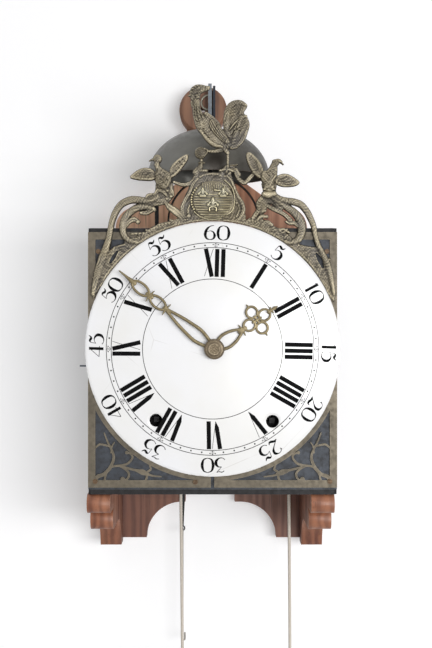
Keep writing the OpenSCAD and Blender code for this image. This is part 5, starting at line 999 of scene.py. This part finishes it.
reliefMesh("buttonHatching", hatchShapes, [], nutValues["hatchStep"],
           nutValues["back"] - nutValues["hatchPlane"],
           nutValues["back"] - nutValues["hatchBack"], "minute_work", ["hand_nut"],
           turn=(handCentre, math.radians(nutValues["hatchAngle"])))


# Bell: a struck bronze cap with a rolled lip, turned about Z. Outside and inside are quarter
# ellipses: r = radius * cos(a), z = height * sin(a)

bellValues = {"centre": (-2.6, -100.0, 314.5), "radius": 62.0, "height": 49.5, "thick": 3.0, "bore": 2.6,
              "lip": (2.4, 0.5)}


def bellLine(radius, height, angles):
    return [(max(radius * math.cos(a), bellValues["bore"]), height * math.sin(a)) for a in angles]


bellAngles = np.radians(np.linspace(0, 90, 40))
bellOutline = bellLine(bellValues["radius"] - bellValues["thick"],
                       bellValues["height"] - bellValues["thick"], bellAngles[::-1])
bellOutline += [(bellValues["radius"] - gap, 0.0) for gap in bellValues["lip"]]
bellOutline += bellLine(bellValues["radius"], bellValues["height"], bellAngles)
verts, faces = latheSurface(bellOutline + bellOutline[:1], bellValues["centre"], "z", 128)
addPiece("bellCap", verts, faces, "clock", ["bell"], 60)


# Windings: seven turns of the same cord on each drum

windingValues = {"turns": 7, "rings": 56, "radius": 20.76, "back": -76.0, "pitch": 3.7, "lobe": 0.14,
                 "going": (-52.6, 72.0, "going_drum"), "strike": (59.4, 71.0, "strike_drum")}
for side in ("going", "strike"):
    x, z, body = windingValues[side]
    turn = np.linspace(0, windingValues["turns"], windingValues["turns"] * windingValues["rings"])
    angle = 2 * math.pi * turn
    path = np.stack([x + windingValues["radius"] * np.cos(angle),
                     windingValues["back"] - windingValues["pitch"] * turn,
                     z + windingValues["radius"] * np.sin(angle)], 1)
    verts, faces = cordSurface(path, cordValues["diameter"] / 2, (0, 1, 0), lobe=windingValues["lobe"])
    addPiece(side + "Turns", verts, faces, body, [side + "_winding"], 80)
print("button, bell and windings made")


# Wood: welded copies of the bracket's boards with softened edges

woodValues = {"round": 0.7, "segments": 2, "angle": 32, "weld": 0.02}
for node in ("backboard", "side_bracket_left", "side_bracket_right"):
    board = newObject(node.title().replace("_", "") + "Wood", nodes[node].data.copy())
    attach(board, "clock")
    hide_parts(node)
    weld = board.modifiers.new("weld", "WELD")
    weld.merge_threshold = woodValues["weld"] * mm
    soften = board.modifiers.new("soften", "BEVEL")
    soften.width = woodValues["round"] * mm
    soften.segments = woodValues["segments"]
    soften.limit_method = "ANGLE"
    soften.angle_limit = math.radians(woodValues["angle"])
    soften.harden_normals = True


# Materials

# Links a socket or sets a value. A colour is given as red, green and blue, 0 to 255
def feed(node, inputs):
    for key, value in inputs.items():
        if isinstance(value, bpy.types.NodeSocket):
            node.id_data.links.new(value, node.inputs[key])
        elif isinstance(value, tuple) and node.inputs[key].type == "RGBA":
            node.inputs[key].default_value = srgb(*value)
        else:
            node.inputs[key].default_value = value
    return node


def srgb(*colour):
    linear = [v / 255 / 12.92 if v <= 10 else ((v / 255 + 0.055) / 1.055) ** 2.4 for v in colour]
    return (*linear, 1)


def addNode(tree, kind, inputs=None, **settings):
    node = tree.nodes.new("ShaderNode" + kind)
    for key, value in settings.items():
        setattr(node, key, value)
    return feed(node, inputs or {})


def newGroup(name, inputs, outputs):
    group = bpy.data.node_groups.new(name, "ShaderNodeTree")
    for key, value in inputs.items():
        group.interface.new_socket(key, in_out="INPUT", socket_type="NodeSocketFloat").default_value = value
    for key in outputs:
        group.interface.new_socket(key, in_out="OUTPUT", socket_type="NodeSocketFloat")
    return group, group.nodes.new("NodeGroupInput").outputs, group.nodes.new("NodeGroupOutput")


def newMaterial(name):
    material = bpy.data.materials.new(name)
    material.use_nodes = True
    return material, material.node_tree, material.node_tree.nodes["Principled BSDF"]


def noise(tree, vector, scale, detail=4.0, rough=0.55):
    return addNode(tree, "TexNoise", {"Vector": vector, "Scale": scale, "Detail": detail,
                                      "Roughness": rough}).outputs[0]


def spread(tree, value, low, high, outLow=0.0, outHigh=1.0):
    return addNode(tree, "MapRange", {"Value": value, "From Min": low, "From Max": high,
                                      "To Min": outLow, "To Max": outHigh}).outputs[0]


def calc(tree, operation, a, b):
    return addNode(tree, "Math", {0: a, 1: b}, operation=operation).outputs[0]


def mixColour(tree, fac, a, b):
    return addNode(tree, "Mix", {0: fac, 6: a, 7: b}, data_type="RGBA").outputs[2]


def objectPlace(tree):
    return addNode(tree, "TexCoord").outputs["Object"]


def objectAxes(tree):
    return addNode(tree, "SeparateXYZ", {"Vector": objectPlace(tree)}).outputs


def bump(tree, height, strength, distance=0.0004):
    return addNode(tree, "Bump", {"Height": height, "Strength": strength, "Distance": distance}).outputs[0]


# Edge mask: how far a small rounded normal turns from the face's own
def makeEdgeGroup():
    group, entry, leave = newGroup("edgeMask", {"Radius": 0.0006}, ["Edge"])
    rounded = addNode(group, "Bevel", {"Radius": entry["Radius"]}, samples=4).outputs[0]
    own = addNode(group, "NewGeometry").outputs["Normal"]
    dot = addNode(group, "VectorMath", {0: rounded, 1: own}, operation="DOT_PRODUCT").outputs["Value"]
    feed(leave, {"Edge": spread(group, dot, 0.995, 0.86)})
    return group


# Patina: mottling at three scales, the finest for the bump
def makePatinaGroup():
    group, entry, leave = newGroup("patina", {"Scale": 1.0}, ["Broad", "Spots", "Grain"])
    vector = addNode(group, "VectorMath", {0: objectPlace(group), "Scale": entry["Scale"]},
                     operation="SCALE").outputs[0]
    # name, scale, detail, roughness, and where the mask is 0 and 1
    for key, scale, detail, rough, low, high in (("Broad", 28.0, 3, 0.55, 0.35, 0.68),
                                                 ("Spots", 240.0, 4, 0.6, 0.42, 0.66),
                                                 ("Grain", 1400.0, 3, 0.6, 0.25, 0.75)):
        feed(leave, {key: spread(group, noise(group, vector, scale, detail, rough), low, high)})
    return group


edgeGroup = makeEdgeGroup()
patinaGroup = makePatinaGroup()


def edgeMask(tree, radius):
    return addNode(tree, "Group", {"Radius": radius}, node_tree=edgeGroup).outputs["Edge"]


def lighter(colour, share):
    return tuple(min(240, v * share) for v in colour)


# Old metal: base and worn colour, dark in the hollows, bright at the edges and high places. recess is the
# height that counts as deep on a casting, whose spots of painted highlight and shade, partly patina, make
# it paler or darker in places
def metalMaterial(name, base, worn, dark, metallic, rough, recess=None, edge=0.5, grain=0.12, scale=1.0,
                  spots=0.35, other=None):
    material, tree, shader = newMaterial(name)
    patina = addNode(tree, "Group", {"Scale": scale}, node_tree=patinaGroup).outputs
    colour = mixColour(tree, patina["Broad"], base, other or lighter(base, 0.8))
    colour = mixColour(tree, calc(tree, "MULTIPLY", patina["Spots"], spots), colour, dark)
    if recess:
        raised, tone = (addNode(tree, "Attribute", attribute_name=key).outputs["Fac"]
                        for key in ("raised", "tone"))
        # The second attribute mixes in painted highlights and shade, partly patina
        for value, low, high, shade in ((raised, 0.02, -recess, dark), (raised, 0.03, recess, worn),
                                        (tone, 0, 1, lighter(worn, 1.2)),
                                        (tone, 0, -1, lighter(dark, 1.2))):
            colour = mixColour(tree, spread(tree, value, low, high), colour, shade)
    wear = calc(tree, "MULTIPLY", edgeMask(tree, 0.0007), edge)
    feed(shader, {"Base Color": mixColour(tree, wear, colour, worn), "Metallic": metallic,
                  "Roughness": spread(tree, patina["Spots"], 0, 1, rough - 0.07, rough + 0.1),
                  "Normal": bump(tree, patina["Grain"], grain)})
    return material


# Each metal's base, worn and dark colour, its metallic share and its roughness come first
metalValues = {
    "castBrass": ((122, 112, 91), (188, 177, 150), (42, 39, 37), 0.65, 0.46,
                  {"recess": 0.64, "edge": 0.2, "grain": 0.6, "spots": 0.6, "other": (104, 100, 95)}),
    "brightBrass": ((112, 103, 82), (236, 224, 184), (34, 30, 26), 0.6, 0.4,
                    {"recess": 0.55, "edge": 0.1, "grain": 0.3, "spots": 0.4, "other": (100, 94, 84)}),
    "sheetBrass": ((106, 98, 84), (146, 136, 114), (70, 64, 56), 0.6, 0.5, {"edge": 0.6, "grain": 0.15}),
    "handBrass": ((124, 112, 84), (154, 142, 110), (82, 72, 54), 0.7, 0.44,
                  {"recess": 0.5, "edge": 0.2, "grain": 0.1}),
    "nutBrass": ((138, 123, 101), (178, 164, 139), (76, 66, 53), 0.7, 0.45, {"edge": 0.7, "grain": 0.15}),
    "screwBrass": ((94, 74, 54), (128, 106, 82), (46, 36, 28), 0.6, 0.5, {"grain": 0.15}),
    "hatchBrass": ((96, 84, 66), (168, 152, 124), (44, 36, 28), 0.7, 0.45, {"recess": 0.25}),
    "wheelBrass": ((160, 134, 84), (196, 172, 118), (92, 74, 46), 0.9, 0.36, {"edge": 0.4, "grain": 0.1}),
    "agedIron": ((32, 31, 32), (80, 78, 78), (24, 22, 21), 0.5, 0.55, {"grain": 0.3}),
    "bluedIron": ((57, 61, 68), (104, 106, 106), (44, 43, 43), 0.5, 0.48,
                  {"edge": 0.4, "grain": 0.25, "spots": 0.6}),
    "oldSteel": ((66, 72, 80), (140, 144, 146), (38, 40, 44), 0.75, 0.42, {"edge": 0.6, "grain": 0.15}),
    "leafSteel": ((112, 118, 124), (150, 154, 154), (60, 64, 68), 0.6, 0.42, {"edge": 0.4}),
    "wireSteel": ((172, 168, 158), (214, 210, 202), (120, 114, 104), 0.6, 0.4, {"edge": 0.3, "grain": 0.1}),
    "wireBrass": ((140, 136, 122), (190, 184, 166), (84, 80, 72), 0.6, 0.42, {"grain": 0.1}),
    "bellBronze": ((102, 100, 93), (130, 125, 113), (60, 53, 47), 0.55, 0.42, {"scale": 0.5, "spots": 0.3})}
finishes = {name: metalMaterial(name, *v[:5], **v[5]) for name, v in metalValues.items()}


# Paints over a metal's colour, with painted reflection and shade among the marks: for each pair of mask and
# colour, in turn
def paintOverMetal(name, masks):
    tree = finishes[name].node_tree
    shader = tree.nodes["Principled BSDF"]
    colour = shader.inputs["Base Color"].links[0].from_socket
    for mask, shade in masks(tree):
        colour = mixColour(tree, mask, colour, shade)
    feed(shader, {"Base Color": colour})


# Centre and radii in m of the brown-dark painted reflection on the bell's front
bellReflectionSpot = {"place": (0.0045, -0.158, 0.321), "inner": 0.006, "outer": 0.015}


# Painted reflection and shade on the bell: greyer at its left as a painted reflection, darker at its right
# as painted shade, and a brown-dark painted reflection in front, under the rooster
def bellLightMasks(tree):
    x = objectAxes(tree)["X"]
    gap = addNode(tree, "VectorMath", {0: objectPlace(tree), 1: bellReflectionSpot["place"]}, operation="DISTANCE")
    return ((spread(tree, x, 0.01, -0.04), (124, 123, 118)),
            (spread(tree, x, 0.0, 0.03, 0, 0.45), (66, 62, 56)),
            (spread(tree, gap.outputs["Value"], bellReflectionSpot["outer"], bellReflectionSpot["inner"], 0, 0.8),
             (46, 39, 33)))


# The front leaf is bare steel, darker below; the other is darkened with painted shade
def leafMasks(tree):
    axes = objectAxes(tree)
    return ((spread(tree, axes["Z"], 0.386, 0.374, 0, 0.75), (48, 56, 66)),
            (spread(tree, axes["X"], 0.0009, 0.0012), (34, 38, 46)))


paintOverMetal("bellBronze", bellLightMasks)
paintOverMetal("leafSteel", leafMasks)

# Colours of the bracket's wood, with painted light and shade by place: low behind the clock, low in front,
# high at the right, high at the left, and on the head. Behind the clock is darker than in front; the high
# colours are lighter as painted light where the crest's shadow falls, the left most, and the head is darker
# as painted shade against the lamp's full light
woodColoursAndPaintedLight = {"light": ((114, 70, 53), (148, 94, 68), (164, 112, 82), (238, 186, 150), (131, 91, 66)),
               "deep": ((84, 48, 37), (108, 62, 45), (126, 80, 58), (206, 150, 120), (98, 64, 47)),
               "patches": ((130, 84, 60), (172, 120, 90), (182, 128, 92), (244, 200, 166), (146, 104, 76)),
               "pores": (58, 36, 30), "worn": (166, 124, 98)}
woodLightZones = {"upper": ("Z", 0.0, 0.22), "head": ("Z", 0.32, 0.36), "left": ("X", 0.03, -0.03),
             "front": ("Y", -0.02, -0.06)}  # axis, and where the mask is 0 and 1, in m


# Walnut: bent bands along Z, a lighter blotch here and there, fine dark pores, worn edges, and painted
# light and shade by place
def makeWood():
    material, tree, shader = newMaterial("walnut")
    place, axes = objectPlace(tree), objectAxes(tree)
    along = addNode(tree, "Mapping", {"Vector": place, "Scale": (38, 38, 3.2)}).outputs[0]
    wave = addNode(tree, "TexWave", {"Vector": along, "Scale": 0.9, "Distortion": 7.0, "Detail": 3.0,
                                     "Detail Scale": 1.4}, bands_direction="X").outputs["Fac"]
    fine = addNode(tree, "Mapping", {"Vector": place, "Scale": (900, 900, 26)}).outputs[0]
    pores = noise(tree, fine, 1.0, 3)
    masks = {key: spread(tree, axes[axis], *ends) for key, (axis, *ends) in woodLightZones.items()}
    # Each colour is split by place: lighter high up and at the left as painted light, darker on the head as
    # painted shade
    shades = {}
    for key in ("light", "deep", "patches"):
        behind, before, right, far, top = woodColoursAndPaintedLight[key]
        low = mixColour(tree, masks["front"], behind, before)
        high = mixColour(tree, masks["left"], right, far)
        shades[key] = mixColour(tree, masks["head"], mixColour(tree, masks["upper"], low, high), top)
    colour = mixColour(tree, spread(tree, wave, 0.1, 0.95), shades["light"], shades["deep"])
    blotch = spread(tree, noise(tree, place, 16.0, 3), 0.35, 0.7, 0, 0.6)
    colour = mixColour(tree, blotch, colour, shades["patches"])
    colour = mixColour(tree, spread(tree, pores, 0.58, 0.75, 0, 0.6), colour, woodColoursAndPaintedLight["pores"])
    worn = calc(tree, "MULTIPLY", edgeMask(tree, 0.0012), 0.45)
    feed(shader, {"Base Color": mixColour(tree, worn, colour, woodColoursAndPaintedLight["worn"]),
                  "Roughness": spread(tree, wave, 0, 1, 0.4, 0.52), "Normal": bump(tree, pores, 0.12)})
    return material


enamelValues = {"cool": (236, 236, 238), "warm": (232, 231, 228), "crack": (150, 140, 126),
                "cells": 15.0, "crackWide": 0.006, "crackShare": 0.28, "rough": 0.22, "coat": 0.3}


# White enamel with a few hair cracks, which show only where a broad noise lets them
def makeEnamel():
    material, tree, shader = newMaterial("enamel")
    place = objectPlace(tree)
    v = enamelValues
    cells = addNode(tree, "TexVoronoi", {"Vector": place, "Scale": v["cells"]}, feature="DISTANCE_TO_EDGE")
    crack = spread(tree, cells.outputs["Distance"], 0.0, v["crackWide"], 1, 0)
    where = spread(tree, noise(tree, place, 22.0, 2), 0.54, 0.66)
    line = calc(tree, "MULTIPLY", calc(tree, "MULTIPLY", crack, where), v["crackShare"])
    broad = spread(tree, noise(tree, place, 14.0, 3), 0.35, 0.7)
    white = mixColour(tree, broad, v["cool"], v["warm"])
    ripple = bump(tree, noise(tree, place, 60.0, 2), 0.03, 0.0005)
    feed(shader, {"Base Color": mixColour(tree, line, white, v["crack"]), "Roughness": v["rough"],
                  "Coat Weight": v["coat"], "Normal": ripple})
    return material


def makePlain(name, one, two, rough, scale, strength):
    material, tree, shader = newMaterial(name)
    grain = noise(tree, objectPlace(tree), scale, 4)
    feed(shader, {"Base Color": mixColour(tree, spread(tree, grain, 0.35, 0.68), one, two),
                  "Roughness": rough, "Normal": bump(tree, grain, strength)})
    return material


finishes["walnut"] = makeWood()
finishes["enamel"] = makeEnamel()
finishes["ink"] = makePlain("blackFiredInk", (8, 8, 9), (16, 16, 17), 0.6, 700.0, 0.05)
feed(finishes["ink"].node_tree.nodes["Principled BSDF"], {"Specular IOR Level": 0.05})
finishes["linen"] = makePlain("linenCord", (212, 204, 192), (178, 169, 157), 0.85, 1600.0, 0.5)

pieceFinishes = {"castBrass": ["crestCasting", "roosterCasting"], "brightBrass": ["medallionRelief"],
                 "handBrass": ["minuteHandCut", "hourHandCut"], "nutBrass": ["handButton"],
                 "hatchBrass": ["buttonHatching"], "bellBronze": ["bellCap"], "enamel": ["enamelDisc"],
                 "ink": ["dialPrinting"],
                 "linen": ["goingCordStrands", "strikeCordStrands", "goingTurns", "strikeTurns"],
                 "walnut": ["BackboardWood", "SideBracketLeftWood", "SideBracketRightWood"]}
for finish, names in pieceFinishes.items():
    for name in names:
        mesh = bpy.data.objects[name].data
        mesh.materials.clear()
        mesh.materials.append(finishes[finish])

# Solids that show as they are: by their own name, or else by how their slot's name begins
nodeFinishes = {"frame_left": "sheetBrass", "frame_right": "sheetBrass", "front_plate": "bluedIron",
                "hanger_leaves": "leafSteel", "hanger_ring": "wireBrass", "hoop_bolts": "oldSteel",
                "frame_screws": "screwBrass", "pendulum_link": "wireSteel", "hammer_spring": "oldSteel"}
nodeFinishes.update(dict.fromkeys(
    ["bell_nut", "bracket_screws", "weight_hooks", "going_drum", "strike_drum"], "agedIron"))
slotFinishes = {"wood": "walnut", "iron": "agedIron", "blued_iron": "bluedIron", "brass": "wheelBrass",
                "bright_brass": "wheelBrass", "steel": "oldSteel", "enamel": "enamel",
                "bell_bronze": "bellBronze", "linen": "linen"}
for name, node in nodes.items():
    slotName = node.material_slots[0].name if node.material_slots else ""
    bySlot = next((finish for key, finish in slotFinishes.items() if slotName.startswith(key)), "agedIron")
    for slot in node.material_slots:
        slot.material = finishes[nodeFinishes.get(name, bySlot)]
print("materials made")


# Wall, floor and light

stageValues = {"glow": 0.25, "wallY": 0.001, "touch": 0.004, "half": 4.0, "floorZ": -1.4,
               "wall": (232, 232, 233), "floor": (228, 228, 228), "rough": 0.9}


# A plane is clear from behind, and to rays from a surface that touches it, such as the board's back
def stagePlane(name, corners, colour):
    mesh = bpy.data.meshes.new(name)
    mesh.from_pydata(corners, [], [(0, 1, 2, 3)])
    newObject(name, mesh)
    material, tree, shader = newMaterial(name)
    paths = addNode(tree, "LightPath").outputs
    near = calc(tree, "LESS_THAN", paths["Ray Length"], stageValues["touch"])
    through = calc(tree, "MAXIMUM", addNode(tree, "NewGeometry").outputs["Backfacing"], near)
    feed(shader, {"Base Color": colour, "Roughness": stageValues["rough"],
                  "Emission Strength": calc(tree, "MULTIPLY", paths["Is Camera Ray"], stageValues["glow"])})
    mix = addNode(tree, "MixShader", {0: through, 1: shader.outputs[0],
                                      2: addNode(tree, "BsdfTransparent").outputs[0]})
    feed(tree.nodes["Material Output"], {"Surface": mix.outputs[0]})
    mesh.materials.append(material)


h, y, z = stageValues["half"], stageValues["wallY"], stageValues["floorZ"]
stagePlane("wall", [(-h, y, z), (h, y, z), (h, y, h), (-h, y, h)], stageValues["wall"])
stagePlane("floor", [(-h, -2 * h, z), (h, -2 * h, z), (h, y, z), (-h, y, z)], stageValues["floor"])

lampValues = {"place": (0.85, -2.0, 0.12), "aim": (0, -0.1, 0.15), "size": 1.5, "tall": 0.5, "power": 31.0}
lamp = newObject("keyLamp", bpy.data.lights.new("keyLamp", "AREA"))
lamp.data.shape = "RECTANGLE"
lamp.data.size = lampValues["size"]
lamp.data.size_y = lampValues["tall"]
lamp.data.energy = lampValues["power"]
lamp.location = lampValues["place"]
away = np.array(lampValues["place"]) - np.array(lampValues["aim"])
lamp.rotation_euler = (math.acos(away[2] / np.linalg.norm(away)), 0,
                       math.atan2(away[1], away[0]) + math.pi / 2)

# The sky is white to the camera and in reflections, and weaker as a light
skyValues = {"light": 0.46, "seen": 1.0}
world = bpy.data.worlds.new("studio")
world.use_nodes = True
bpy.context.scene.world = world
paths = addNode(world.node_tree, "LightPath").outputs
seen = calc(world.node_tree, "MAXIMUM", paths["Is Camera Ray"], paths["Is Glossy Ray"])
seen = calc(world.node_tree, "MAXIMUM", seen, paths["Is Transmission Ray"])
feed(world.node_tree.nodes["Background"],
     {"Strength": spread(world.node_tree, seen, 0, 1, skyValues["light"], skyValues["seen"]),
      "Color": (255, 255, 255)})
bpy.context.scene.view_settings.view_transform = "Standard"
print("stage made")
